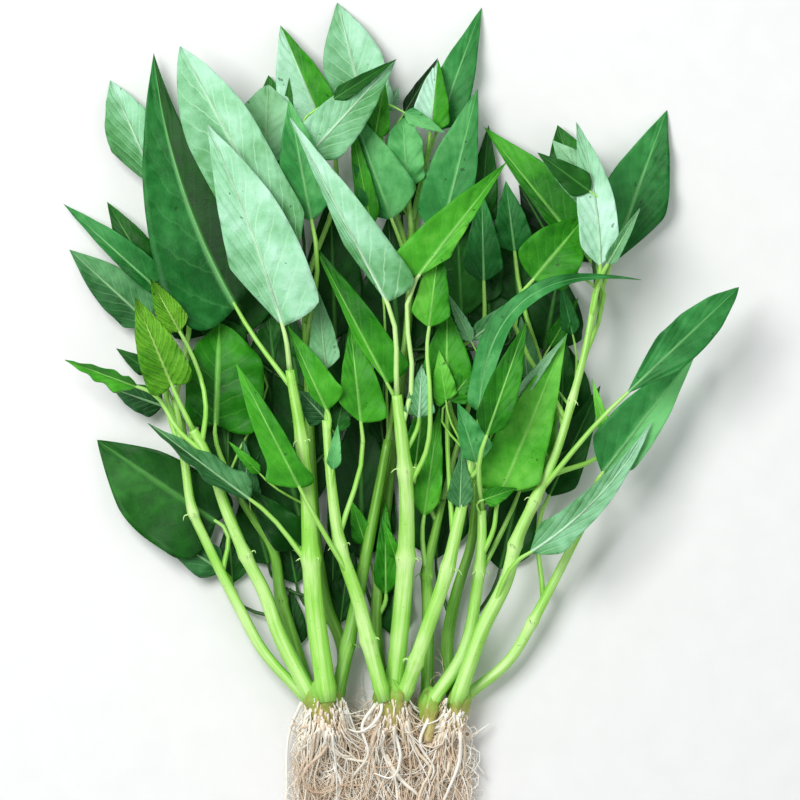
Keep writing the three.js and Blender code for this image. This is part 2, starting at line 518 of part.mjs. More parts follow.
function addMesh(name, solid, colour, surface) {
  const { numProp, vertProperties, triVerts } = solid.getMesh();
  const points = Array.from({ length: vertProperties.length / numProp }, (_, i) => (
    vector(...vertProperties.subarray(i * numProp, i * numProp + 3))));
  let faces = Array.from({ length: triVerts.length / 3 }, (_, i) => [...triVerts.subarray(i * 3, i * 3 + 3)]);
  for (let next = faces; next; next = mergeShortEdge(points, faces)) faces = next;
  let turns = 0;
  for (let next = faces; next && turns < mostTurns; next = turnFlatFace(points, faces)) {
    faces = next;
    turns += 1;
  }
  const geometry = new THREE.BufferGeometry();
  const used = [...new Set(faces.flat())];
  const renumbered = new Map(used.map((a, i) => [a, i]));
  geometry.setAttribute('position', new THREE.Float32BufferAttribute(
    used.flatMap((a) => points[a].toArray()), 3));
  geometry.setIndex(faces.flat().map((a) => renumbered.get(a)));
  geometry.computeVertexNormals();
  const material = new THREE.MeshStandardMaterial({
    color: greens[colour], roughness: surface, metalness: 0,
  });
  const mesh = new THREE.Mesh(geometry, material);
  mesh.name = name;
  meshes.push(mesh);
}

const grownCrowns = crowns.map((crown) => crownSolid(crown, gap));
const clearOfCrowns = (solid) => grownCrowns.reduce((left, crown) => left.subtract(crown), solid);

for (const crown of crowns) lay(crown.name, crownSolid(crown));
for (const tuft of tufts) {
  lay(tuft.name, clearOfCrowns(tuft.fingers.map(fingerSolid).reduce((sum, finger) => sum.add(finger))));
}
for (const stem of stems) lay(stem.name, clearOfCrowns(stemSolid(stem)));

const fusedTo = new Map(stems.map((stem) => [stem.name, []]));
for (const sketch of leaves) {
  const leaf = { ...leafDefaults, ...sketch };
  const stem = stems.find((each) => each.name === leaf.on);
  const grownStem = stemSolid(stem, gap);
  const lowest = leafSolid(leaf, stem, 0).boundingBox().min[2];
  let lift = leaf.lies || lowest < 0 ? -lowest : 0;
  let solid = leafSolid(leaf, stem, lift).subtract(grownStem);
  while (solid.decompose().length > 1 || collisions(solid, leaf.on).length > 0) {
    lift += liftStep;
    if (lift > highestLift) throw new Error(`${leaf.name} finds no room`);
    solid = leafSolid(leaf, stem, lift).subtract(grownStem);
  }
  if (leaf.fused) fusedTo.get(stem.name).push(leafSolid(leaf, stem, lift));
  lay(leaf.name, solid);
}

for (const { name, solid } of laid) {
  const stem = stems.find((each) => each.name === name);
  const leaf = leaves.find((each) => each.name === name);
  if (stem) {
    const whole = fusedTo.get(name).reduce((sum, each) => sum.add(each), solid);
    addMesh(name, whole, stem.colour, roughness.stem);
  }
  if (!stem && !leaf) addMesh(name, solid, name.startsWith('crown') ? 'crown' : 'root', roughness.root);
  if (leaf && !leaf.fused) addMesh(name, solid, leaf.look, roughness.leaf);
}

// The origin goes to the middle of the clump's underside
const clump = new THREE.Group();
clump.add(...meshes);
const box = new THREE.Box3().setFromObject(clump, true);
const centre = box.getCenter(vector(0, 0, 0));
meshes.forEach((mesh) => mesh.geometry.translate(-centre.x, -centre.y, -box.min.z));

export default clump;
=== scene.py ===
import math
import random
import bpy
import bmesh
from mathutils import Matrix, Quaternion, Vector, noise
from mathutils.geometry import interpolate_bezier


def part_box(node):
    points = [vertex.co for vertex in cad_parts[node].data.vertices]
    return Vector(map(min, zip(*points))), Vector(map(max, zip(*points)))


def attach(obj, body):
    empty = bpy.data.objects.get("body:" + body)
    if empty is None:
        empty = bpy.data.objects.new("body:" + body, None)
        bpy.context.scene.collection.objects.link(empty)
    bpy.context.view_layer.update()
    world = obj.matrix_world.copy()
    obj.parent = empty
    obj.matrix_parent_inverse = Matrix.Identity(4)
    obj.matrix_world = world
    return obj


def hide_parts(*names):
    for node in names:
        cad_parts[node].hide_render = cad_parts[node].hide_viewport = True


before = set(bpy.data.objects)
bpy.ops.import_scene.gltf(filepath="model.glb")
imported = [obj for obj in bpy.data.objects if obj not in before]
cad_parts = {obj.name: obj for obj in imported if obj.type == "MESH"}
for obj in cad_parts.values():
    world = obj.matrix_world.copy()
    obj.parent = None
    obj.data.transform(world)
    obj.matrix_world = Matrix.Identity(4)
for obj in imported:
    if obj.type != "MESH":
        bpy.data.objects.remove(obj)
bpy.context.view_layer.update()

# The tables are in millimetres as seen from above: x to the right, y from the roots to the leaves, z up.
# The left crown's solid, whose middle and lower end the tables know, tells where that lies in the frame.
crownInTable = dict(middleX=-39, lowY=-164)
crownLow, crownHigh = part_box("crown_left")
tableOrigin = Vector(((crownLow[0] + crownHigh[0]) / 2 - crownInTable["middleX"] / 1000,
                      crownLow[1] - crownInTable["lowY"] / 1000, 0.0))
toFrame = Matrix.Translation(tableOrigin) @ Matrix.Scale(0.001, 4)
fullTurn = 2 * math.pi
anyAngle = (0, 6.28)


def camel(name):
    first, *rest = name.split("_")
    return first + "".join(word.capitalize() for word in rest)


def blend(start, end, share):
    return start + (end - start) * share


def headingAt(points, i):
    # direction of a path at one of its points, nearer to that of the shorter stretch beside it
    if i == 0:
        return (points[1] - points[0]).normalized()
    if i == len(points) - 1:
        return (points[-1] - points[-2]).normalized()
    before, after = points[i] - points[i - 1], points[i + 1] - points[i]
    return (before.normalized() * after.length + after.normalized() * before.length).normalized()


def smoothPath(points, steps):
    # a smooth way through the points, with so many steps from each to the next
    points = [Vector(p) for p in points]
    path = []
    for i in range(len(points) - 1):
        a, b = points[i], points[i + 1]
        reach = (b - a).length / 3
        handleA = a + headingAt(points, i) * reach
        handleB = b - headingAt(points, i + 1) * reach
        path += interpolate_bezier(a, handleA, handleB, b, steps + 1)[:-1]
    return path + [points[-1]]


def frameAt(tangent, roll=0.0):
    # sideways and upward directions of something that runs along tangent
    side = Vector((tangent.y, -tangent.x, 0.0))
    side = side.normalized() if side.length > 1e-6 else Vector((1, 0, 0))
    up = side.cross(tangent).normalized()
    if roll:
        turn = Quaternion(tangent, math.radians(-roll))
        side, up = turn @ side, turn @ up
    return side, up


def addSheet(bm, columns, rows, place, slotIndex, toneOf):
    # a grid of faces whose points go to place(across, along), both from 0 to 1; returns its points
    uvLayer = bm.loops.layers.uv.get("UVMap") or bm.loops.layers.uv.new("UVMap")
    toneLayer = bm.verts.layers.float.get("tone") or bm.verts.layers.float.new("tone")
    made = bmesh.ops.create_grid(bm, x_segments=columns, y_segments=rows, size=0.5)["verts"]
    spots = {v: (v.co.x + 0.5, v.co.y + 0.5) for v in made}
    for face in {f for v in made for f in v.link_faces}:
        face.smooth = True
        middle = [sum(spots[v][k] for v in face.verts) / 4 for k in (0, 1)]
        face.material_index = slotIndex(*middle) if callable(slotIndex) else slotIndex
        for loop in face.loops:
            loop[uvLayer].uv = spots[loop.vert]
    for v, (across, along) in spots.items():
        v.co = place(across, along)
        v[toneLayer] = toneOf(across, along)
    return made


def addTube(bm, path, radii, sides, slotIndex, toneOf, shapeOf=None):
    # a tube with closed ends: the sheet is rolled up, its long edges merge and its ends are drawn to points
    rings = [(path[0], 0.0, 0)] + [(p, r, i) for i, (p, r) in enumerate(zip(path, radii))]
    rings.append((path[-1], 0.0, len(path) - 1))
    last = len(rings) - 1
    frames = [frameAt(headingAt(path, i)) for i in range(len(path))]

    def place(across, along):
        point, radius, i = rings[round(along * last)]
        side, up = frames[i]
        angle = across * fullTurn
        if shapeOf:
            radius *= shapeOf(across % 1.0, i / (len(path) - 1))
        return point + side * (radius * math.cos(angle)) - up * (radius * math.sin(angle))

    made = addSheet(bm, sides, last, place, slotIndex, toneOf)
    bmesh.ops.remove_doubles(bm, verts=made, dist=1e-4)


def finishPiece(name, bm, materials, replaced=None):
    bmesh.ops.transform(bm, matrix=toFrame, verts=bm.verts)
    mesh = bpy.data.meshes.new(name)
    bm.to_mesh(mesh)
    bm.free()
    for material in materials:
        mesh.materials.append(material)
    piece = bpy.data.objects.new(name, mesh)
    bpy.context.collection.objects.link(piece)
    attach(piece, "root")
    if replaced:
        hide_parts(replaced)


# Materials: small helpers for their nodes

def newMaterial(name, roughness, specular):
    material = bpy.data.materials.new(name)
    material.use_nodes = True
    tree = material.node_tree
    shader = tree.nodes["Principled BSDF"]
    shader.inputs["Roughness"].default_value = roughness
    shader.inputs["Specular IOR Level"].default_value = specular
    return material, tree, shader


def addNode(tree, kind, inputs, **settings):
    # a node with its settings, and a value or another node's output on some of its inputs
    made = tree.nodes.new("ShaderNode" + kind)
    for name, setting in settings.items():
        setattr(made, name, setting)
    for socket, value in inputs.items():
        if isinstance(value, (int, float, tuple)):
            made.inputs[socket].default_value = value
        else:
            tree.links.new(value, made.inputs[socket])
    return made.outputs


def calc(tree, operation, a, b=0.5):
    return addNode(tree, "Math", {0: a, 1: b}, operation=operation)[0]


def addShare(tree, total, value, share):
    # total plus a share of value
    return calc(tree, "ADD", total, calc(tree, "MULTIPLY", value, share))


def vary(tree, tone, *grains):
    # tone moved up and down by each grain, which lies around 0.5, and how much it counts
    for value, share in grains:
        tone = addShare(tree, tone, calc(tree, "SUBTRACT", value, 0.5), share)
    return tone


def fade(tree, value, start, end, low=0.0, high=1.0):
    # smooth step from low to high while value goes from start to end
    inputs = {0: value, 1: start, 2: end, 3: low, 4: high}
    return addNode(tree, "MapRange", inputs, interpolation_type="SMOOTHSTEP")[0]


def grain(tree, coords, scale, detail=2.0, stretch=None):
    if stretch:
        coords = addNode(tree, "Mapping", {0: coords, "Scale": stretch})[0]
    return addNode(tree, "TexNoise", dict(Vector=coords, Scale=scale, Detail=detail))[0]


def fromSrgb(red, green, blue):
    # a colour as a painter reads it, 0 to 255, in the linear numbers that the nodes take
    linear = [((c / 255 + 0.055) / 1.055) ** 2.4 if c > 10 else c / 255 / 12.92 for c in (red, green, blue)]
    return (*linear, 1.0)


def mixColours(tree, factor, a, b):
    return addNode(tree, "Mix", {0: factor, 6: a, 7: b}, data_type="RGBA")[2]


def colourRamp(tree, factor, stops):
    made = tree.nodes.new("ShaderNodeValToRGB")
    ramp = made.color_ramp
    while len(ramp.elements) < len(stops):
        ramp.elements.new(0.5)
    for element, (position, colour) in zip(ramp.elements, stops):
        element.position = position
        element.color = fromSrgb(*colour)
    tree.links.new(factor, made.inputs[0])
    return made.outputs[0]


def evenly(colours):
    return [(i / (len(colours) - 1), colour) for i, colour in enumerate(colours)]


def coordsOf(tree):
    return addNode(tree, "TexCoord", {})["Object"]


def uvOf(tree):
    return addNode(tree, "UVMap", {}, uv_map="UVMap")[0]


def toneOfPiece(tree):
    return addNode(tree, "Attribute", {}, attribute_name="tone")["Fac"]


def dress(tree, shader, surface, height, gloss=None, *, strength, distance):
    # a skin's colour, its bump and, where it varies, its roughness
    tree.links.new(surface, shader.inputs["Base Color"])
    bump = addNode(tree, "Bump", dict(Height=height, Strength=strength, Distance=distance))[0]
    tree.links.new(bump, shader.inputs["Normal"])
    if gloss:
        tree.links.new(gloss, shader.inputs["Roughness"])


# Blade colours from the shaded to the lit end of each look, and of its veins. slant is how far the side
# veins lean, crumple how much they wander, and the painted swell light how much lighter the blade is painted
# between them, a painted highlight on each swell.
bladeLooks = {
    "upper": dict(stops=[(0, 60, 14), (18, 98, 32), (58, 146, 70), (112, 196, 116)], vein=(124, 202, 118),
                  veinShare=0.11, roughness=0.46, pairs=7, relief=0.45),
    "bright": dict(stops=[(0, 58, 0), (32, 120, 8), (70, 168, 34), (122, 210, 76)], vein=(142, 222, 96),
                   veinShare=0.11, roughness=0.46, pairs=7, relief=0.45),
    # dark is the green darkened with painted shade, for leaves that lie in shadow
    "dark": dict(stops=[(0, 34, 2), (2, 58, 4), (22, 92, 16), (56, 138, 46)], vein=(80, 158, 60),
                 veinShare=0.06, roughness=0.5, pairs=7, relief=0.3),
    "under": dict(stops=[(34, 96, 42), (90, 160, 94), (152, 214, 168), (202, 246, 222)],
                  vein=(206, 250, 208), veinShare=0.44, roughness=0.6, pairs=8, relief=0.8),
    "grey": dict(stops=[(12, 58, 20), (50, 114, 58), (102, 168, 108), (152, 208, 160)],
                 vein=(158, 212, 150), veinShare=0.26, roughness=0.58, pairs=8, relief=0.6),
    "young": dict(stops=[(22, 76, 2), (66, 138, 14), (112, 182, 44), (166, 226, 98)],
                  vein=(170, 224, 104), veinShare=0.26, roughness=0.42, pairs=12, relief=1.1, slant=3.4,
                  crumple=0.9, bands=0.16),
}
plainVeins = dict(slant=1.9, crumple=0.5, bands=0.02)
otherSide = dict(upper="under", bright="grey", dark="grey", under="upper", grey="upper", young="young")


def bladeMaterial(name, look):
    look = plainVeins | look
    material, tree, shader = newMaterial(name, look["roughness"], specular=0.2)
    coords = coordsOf(tree)
    across, along = addNode(tree, "SeparateXYZ", {0: uvOf(tree)})[:2]
    fromRib = calc(tree, "MULTIPLY", calc(tree, "ABSOLUTE", calc(tree, "SUBTRACT", across, 0.5)), 2.0)
    broad = grain(tree, coords, 34.0, 3.0)
    patches = grain(tree, coords, 150.0, 3.0)
    cells = grain(tree, coords, 1500.0, 2.0)
    # side veins leave the midrib at a slant, staggered from one half to the other
    slant = calc(tree, "MULTIPLY", calc(tree, "POWER", fromRib, 0.8), look["slant"])
    line = calc(tree, "SUBTRACT", calc(tree, "MULTIPLY", along, float(look["pairs"])), slant)
    line = addShare(tree, line, calc(tree, "GREATER_THAN", across, 0.5), 0.45)
    line = addShare(tree, line, patches, look["crumple"])
    fromVein = calc(tree, "PINGPONG", line, 0.5)
    veins = calc(tree, "MULTIPLY", fade(tree, fromVein, 0.0, 0.08, 1.0, 0.0),
                 fade(tree, fromRib, 0.35, 1.0, 1.0, 0.25))
    rib = fade(tree, fromRib, 0.02, 0.1, 1.0, 0.0)
    # the blade swells between two veins, and each swell is also painted lighter, a painted highlight
    swell = fade(tree, fromVein, 0.0, 0.5)
    shares = (broad, 0.75), (patches, 0.45), (cells, 0.12), (swell, look["bands"])
    surface = colourRamp(tree, vary(tree, toneOfPiece(tree), *shares), evenly(look["stops"]))
    # the midrib shows far more than the side veins
    share = calc(tree, "MAXIMUM", calc(tree, "MULTIPLY", veins, look["veinShare"]),
                 calc(tree, "MULTIPLY", rib, 0.55))
    surface = mixColours(tree, share, surface, fromSrgb(*look["vein"]))
    specks = fade(tree, grain(tree, coords, 260.0, 1.0), 0.74, 0.78, 0.0, 0.6)
    surface = mixColours(tree, specks, surface, fromSrgb(24, 52, 22))
    height = calc(tree, "MULTIPLY", swell, 0.35)
    for value, amount in ((cells, 0.3), (patches, 1.1), (rib, 0.5)):
        height = addShare(tree, height, value, amount)
    gloss = addShare(tree, look["roughness"] - 0.1, patches, 0.22)
    dress(tree, shader, surface, height, gloss, strength=look["relief"], distance=0.0012)
    return material


def ribMaterial(name, look):
    material, tree, shader = newMaterial(name, roughness=0.4, specular=0.45)
    coords = coordsOf(tree)
    fine = grain(tree, coords, 700.0, 2.0)
    tone = addShare(tree, calc(tree, "MULTIPLY", grain(tree, coords, 60.0, 2.0), 0.7), fine, 0.3)
    darker = [0.72 * c for c in look["vein"]]
    surface = colourRamp(tree, tone, [(0.3, darker), (0.7, look["vein"])])
    dress(tree, shader, surface, fine, strength=0.3, distance=0.0003)
    return material


stemLooks = {
    "stem": [(34, 100, 6), (98, 176, 40), (154, 224, 84), (216, 252, 166)],
    # shadedStem is the stem darkened with painted shade, for stems and stalks that lie low in the bundle
    "shadedStem": [(8, 48, 0), (44, 108, 10), (92, 160, 36), (150, 208, 92)],
}


def stemMaterial(name, colours):
    material, tree, shader = newMaterial(name, roughness=0.34, specular=0.5)
    coords, uv = coordsOf(tree), uvOf(tree)
    streaks = grain(tree, uv, 1.0, 3.0, stretch=(16.0, 5.0, 1.0))
    fine = grain(tree, uv, 1.0, 2.0, stretch=(52.0, 14.0, 1.0))
    broad = grain(tree, coords, 45.0, 2.0)
    tone = vary(tree, toneOfPiece(tree), (streaks, 0.7), (fine, 0.35), (broad, 0.35))
    surface = colourRamp(tree, tone, evenly(colours))
    bruise = fade(tree, grain(tree, coords, 620.0, 1.0), 0.7, 0.78, 0.0, 0.35)
    surface = mixColours(tree, bruise, surface, fromSrgb(96, 110, 40))
    height = addShare(tree, streaks, fine, 0.5)
    gloss = addShare(tree, 0.26, streaks, 0.2)
    dress(tree, shader, surface, height, gloss, strength=0.35, distance=0.0005)
    return material


def crownMaterial():
    material, tree, shader = newMaterial("crownSkin", roughness=0.6, specular=0.35)
    coords = coordsOf(tree)
    ridges = grain(tree, uvOf(tree), 1.0, 3.0, stretch=(22.0, 3.0, 1.0))
    broad = grain(tree, coords, 160.0, 3.0)
    specks = grain(tree, coords, 420.0, 2.0)
    tone = vary(tree, toneOfPiece(tree), (ridges, 0.8), (broad, 0.35))
    stops = [(0.0, (228, 208, 164)), (0.35, (196, 186, 112)), (0.62, (152, 170, 72)), (0.78, (140, 196, 76)),
             (1.0, (160, 224, 100))]
    scars = fade(tree, specks, 0.6, 0.72, 0.0, 0.55)
    surface = mixColours(tree, scars, colourRamp(tree, tone, stops), fromSrgb(126, 104, 56))
    height = addShare(tree, ridges, specks, 0.6)
    gloss = addShare(tree, 0.45, broad, 0.3)
    dress(tree, shader, surface, height, gloss, strength=0.6, distance=0.0008)
    return material


def rootMaterial():
    material, tree, shader = newMaterial("rootSkin", roughness=0.75, specular=0.3)
    coords = coordsOf(tree)
    broad = grain(tree, coords, 90.0, 3.0)
    fine = grain(tree, coords, 900.0, 2.0)
    tone = vary(tree, toneOfPiece(tree), (broad, 0.5), (fine, 0.3))
    stops = [(0.0, (116, 84, 64)), (0.3, (204, 172, 144)), (0.65, (246, 230, 204)), (1.0, (255, 253, 244))]
    surface = colourRamp(tree, tone, stops)
    gloss = addShare(tree, 0.6, fine, 0.25)
    dress(tree, shader, surface, fine, gloss, strength=0.4, distance=0.0004)
    return material


blades = {look: bladeMaterial(look + "Blade", bladeLooks[look]) for look in bladeLooks}
ribs = {look: ribMaterial(look + "Rib", bladeLooks[look]) for look in bladeLooks}
stemSkins = {look: stemMaterial(look + "Skin", stemLooks[look]) for look in stemLooks}
print("materials ready")

# Stems: each point of a path is x, y, height and radius, from the crown upwards. joints are its swollen
# knuckles, as shares of its length, and tone runs from the crown to the far end, 0 dark and 1 light.
stems = {
    "stem_left_low": dict(look="shadedStem", joints=[0.4], path=[
        (-46, -144, 8, 3.2), (-55, -115, 8, 3), (-59.5, -100, 8, 3), (-64, -74, 9, 2.8),
        (-76, -55, 11, 2.4), (-86, -38, 14, 2)]),
    "stem_under_left": dict(look="shadedStem", path=[
        (-30.5, -146, 9, 3), (-28.5, -127.5, 7, 3), (-37, -102, 7, 3), (-41, -80, 8, 3),
        (-44, -40, 9, 2.6), (-46, 10, 11, 2.2), (-48, 56, 14, 1.8)]),
    "stem_under_centre": dict(look="shadedStem", path=[
        (-9, -146, 6, 3), (-12, -110, 6, 3), (-9, -75, 6, 2.8), (-3, -20, 8, 2.5), (4, 40, 10, 2.2),
        (6, 90, 12, 1.8)]),
    "stem_under_right": dict(look="shadedStem", path=[
        (26.5, -147, 6.5, 3.2), (23.5, -127.5, 6, 3.3), (27.5, -100, 7, 3), (36, -70, 8, 2.4),
        (38, -40, 10, 2)]),
    "stem_inner_left_low": dict(look="shadedStem", joints=[0.25], path=[
        (-31, -146, 17, 3.4), (-26, -122, 15.5, 3.4), (-20.5, -95, 15, 3.2), (-13.5, -60, 16, 2.8),
        (-6, -20, 18, 2.2)]),
    "stem_far_left": dict(look="stem", joints=[0.667], path=[
        (-49.5, -147, 14, 2.6), (-69, -125, 15, 2.7), (-80, -105, 15, 2.7), (-97.5, -70, 16, 2.5),
        (-103.5, -56.5, 17, 2.6), (-107.5, -32.5, 19, 2.2), (-112.5, 0, 20, 1.8)]),
    "stem_left": dict(look="stem", joints=[0.5], path=[
        (-46.5, -145, 20.5, 3.8), (-61, -116, 22, 3.7), (-67.5, -97.5, 23, 3.5),
        (-77.5, -77.5, 25, 3.2), (-86, -57.5, 27, 3), (-98.5, -23.5, 31, 2.5), (-103.5, -15, 32, 2.4)]),
    "stem_front_left": dict(look="stem", joints=[0.4, 0.82], tone=(0.54, 0.5), path=[
        (-37, -144, 27, 5), (-43, -100, 27, 4.8), (-44.5, -79, 28, 4.6), (-46, -50, 31, 3.8),
        (-48.5, -25, 35, 3.2), (-55, 15, 44, 2.2)]),
    "stem_inner_left": dict(look="stem", joints=[0.2, 0.6], path=[
        (-9.5, -144, 24, 3.8), (-16, -120, 26, 3.8), (-21, -100, 27, 3.6), (-30, -72.5, 29, 3.2),
        (-34, -45, 33, 2.6), (-37, -10, 38, 2)]),
    "stem_centre": dict(look="stem", joints=[0.333, 0.7], path=[
        (-3, -144, 14, 4.6), (1.5, -100, 20, 4.4), (3, -78.5, 24, 4.5), (3.5, -60, 29, 4),
        (3, -40, 35, 3.8), (0.5, -15, 42, 3.2), (-1.5, 2.5, 46, 2.6)]),
    "stem_right_low": dict(look="shadedStem", joints=[0.5], path=[
        (13.5, -150, 9, 3.1), (14, -100, 11, 3), (13.5, -87.5, 12, 3), (18, -65, 15, 2.2),
        (21.5, -50, 17, 1.7)]),
    "stem_inner_right": dict(look="stem", joints=[0.2, 0.62], path=[
        (3.5, -144, 21, 3.7), (8, -131, 25, 3.7), (13.5, -115, 27, 3.7), (23, -87.5, 29, 3.5),
        (30, -57.5, 31, 3), (36, -30, 34, 2.3)]),
    "stem_right_mid": dict(look="stem", joints=[0.6], path=[
        (17.5, -149, 15, 3.4), (31.5, -127.5, 13.5, 3.3), (38.5, -95, 15, 3), (41, -70, 20, 2.6),
        (41, -55, 23, 2.2)]),
    "stem_far_right": dict(look="stem", joints=[0.333], path=[
        (33.5, -148, 9, 2.8), (55, -130, 10, 2.7), (66.5, -111, 12, 2.7), (75, -95, 13, 2.5),
        (86.5, -72.5, 15, 2.2), (94, -57.5, 17, 2), (98, -43, 19, 1.8)]),
    "stem_right": dict(look="stem", joints=[0.375, 0.5, 0.75], path=[
        (30, -146, 20, 3.8), (41, -115, 22, 3.7), (54, -87.5, 25, 3.4), (57.5, -72.5, 26, 3.3),
        (67.5, -50, 29, 2.8), (77.5, -27.5, 32, 2.3), (86, 0, 35, 2), (92.5, 25, 37, 1.7),
        (98, 56, 39, 1.5)]),
}
# How stems are made: the swelling of their joints, the foot that runs on into the crown, their flutes, and
# how light their foot and their joints are, with painted light on their upper side and painted shade on
# their flanks, as the lamp falls from above
stemForm = dict(pathSteps=8, sides=18, swell=0.22, swellReach=1.1, footLength=7, footEnd=0.8, footWidth=1.08,
                flutes=5, fluteDepth=0.035, outOfRound=0.03, twist=5, tones=(0.62, 0.58), paintedLitSide=0.7,
                paintedLightGain=0.23, footShade=0.06, footShadeReach=2.5, jointLight=0.14)
# The few rootlets that stand out of each joint, lengths in millimetres
jointRootlets = dict(count=3, start=0.85, lengths=(2.0, 4.5), bow=(-1.2, -0.3), sides=5,
                     radii=[0.42, 0.4, 0.36, 0.3, 0.26, 0.2, 0.12])


def stemPath(name):
    points = stems[name]["path"]
    steps = stemForm["pathSteps"]
    path = smoothPath([p[:3] for p in points], steps)
    radii = []
    for i in range(len(path)):
        at = i / steps
        k = min(int(at), len(points) - 2)
        radii.append(blend(points[k][3], points[k + 1][3], at - k))
    return path, radii


def nearestOn(name, spot):
    path = stemPath(name)[0]
    return min(path, key=lambda p: (p.x - spot[0]) ** 2 + (p.y - spot[1]) ** 2)


def growRootlet(bm, bits, spot, radius, heading):
    side, up = frameAt(heading)
    angle = bits.uniform(*anyAngle)
    out = side * math.cos(angle) + up * abs(math.sin(angle))
    start = spot + out * radius * jointRootlets["start"]
    reach = bits.uniform(*jointRootlets["lengths"])
    bow = Vector((bits.uniform(-1, 1), *jointRootlets["bow"])).normalized()
    line = [start, start + out * reach * 0.5, start + out * reach * 0.75 + bow * reach * 0.5]
    addTube(bm, smoothPath(line, 3), jointRootlets["radii"], jointRootlets["sides"], 0,
            lambda across, along: 1.0)


def buildStem(name, seed):
    look, form = stems[name], stemForm
    bits = random.Random(seed)
    path, radii = stemPath(name)
    last = len(path) - 1
    joints = look.get("joints", [])
    tones = look.get("tone", form["tones"])
    phase = bits.uniform(*anyAngle)

    def swelling(share):
        return sum(math.exp(-((share - at) * last / form["swellReach"]) ** 2) for at in joints)

    thick = [r * (1 + form["swell"] * swelling(i / last)) for i, r in enumerate(radii)]
    # its foot runs on into the crown and widens a little there
    path = [path[0] - headingAt(path, 0) * form["footLength"], *path]
    thick = [thick[0] * form["footEnd"], thick[0] * form["footWidth"], *thick[1:]]

    def fluted(across, share):
        # shallow flutes, and a stem that is not quite round
        angle = across * fullTurn
        flutes = form["fluteDepth"] * math.cos(angle * form["flutes"] + phase)
        return 1 + flutes + form["outOfRound"] * math.cos(angle * 2 + share * form["twist"])

    def toneOf(across, along):
        # the upper side is painted lighter than the flanks, painted light and shade as the lamp falls from
        # above, and the foot darker
        light = form["paintedLightGain"] * math.cos(fullTurn * (across - form["paintedLitSide"]))
        shade = form["footShade"] * math.exp(-along * last / form["footShadeReach"])
        return blend(*tones, along) + form["jointLight"] * swelling(along) + light - shade

    bm = bmesh.new()
    addTube(bm, path, thick, form["sides"], 0, toneOf, fluted)
    for at in joints:
        i = round(at * last) + 1
        for _ in range(jointRootlets["count"]):
            growRootlet(bm, bits, path[i], thick[i], headingAt(path, i))
    finishPiece(camel(name), bm, [stemSkins[look["look"]]], name)


for number, name in enumerate(stems):
    buildStem(name, number)
print("stems ready:", len(stems))


# Leaves. foot is where the stalk starts on its stem and via where it passes, base and tip are the blade's
# ends, and width, roll and fold are in millimetres and degrees. bend and arch bow the midrib. belly, where
# the blade is widest, and lobe are shares of the length; lobes gives the left and the right one where they
# differ, and below zero the base slants up to its shoulder. flare widens the base. sides are the left and
# right half's shares of the half width, taper how full the blade is towards its tip, and swing how long the
# stalk runs in line with it. tone is the blade's at its base and at its tip: its own green and, on leaves
# low in the heap, painted shade. The painted half light is what its left and right half add to that: painted
# light on the half turned to the lamp and painted shade on the other. wave is how far its edge waves, in
# millimetres. A leaf whose name is no node is part of its stem's.
leafDefaults = dict(via=[], roll=0, fold=12, bend=0, arch=5, belly=0.2, lobe=-0.12, flare=0.08, taper=1.5,
                    sides=(1, 1), swing=0.16, halves=(-0.04, 0.06), wave=1.2, stalk=1.4, stalkTone=0.72,
                    stalkLook="stem")


def leafOn(stem, base, tip, width, look, tone, **more):
    # a leaf's dictionary: what every leaf has, and what is special about this one
    return dict(leafDefaults, on=stem, base=base, tip=tip, width=width, look=look, tone=tone) | more


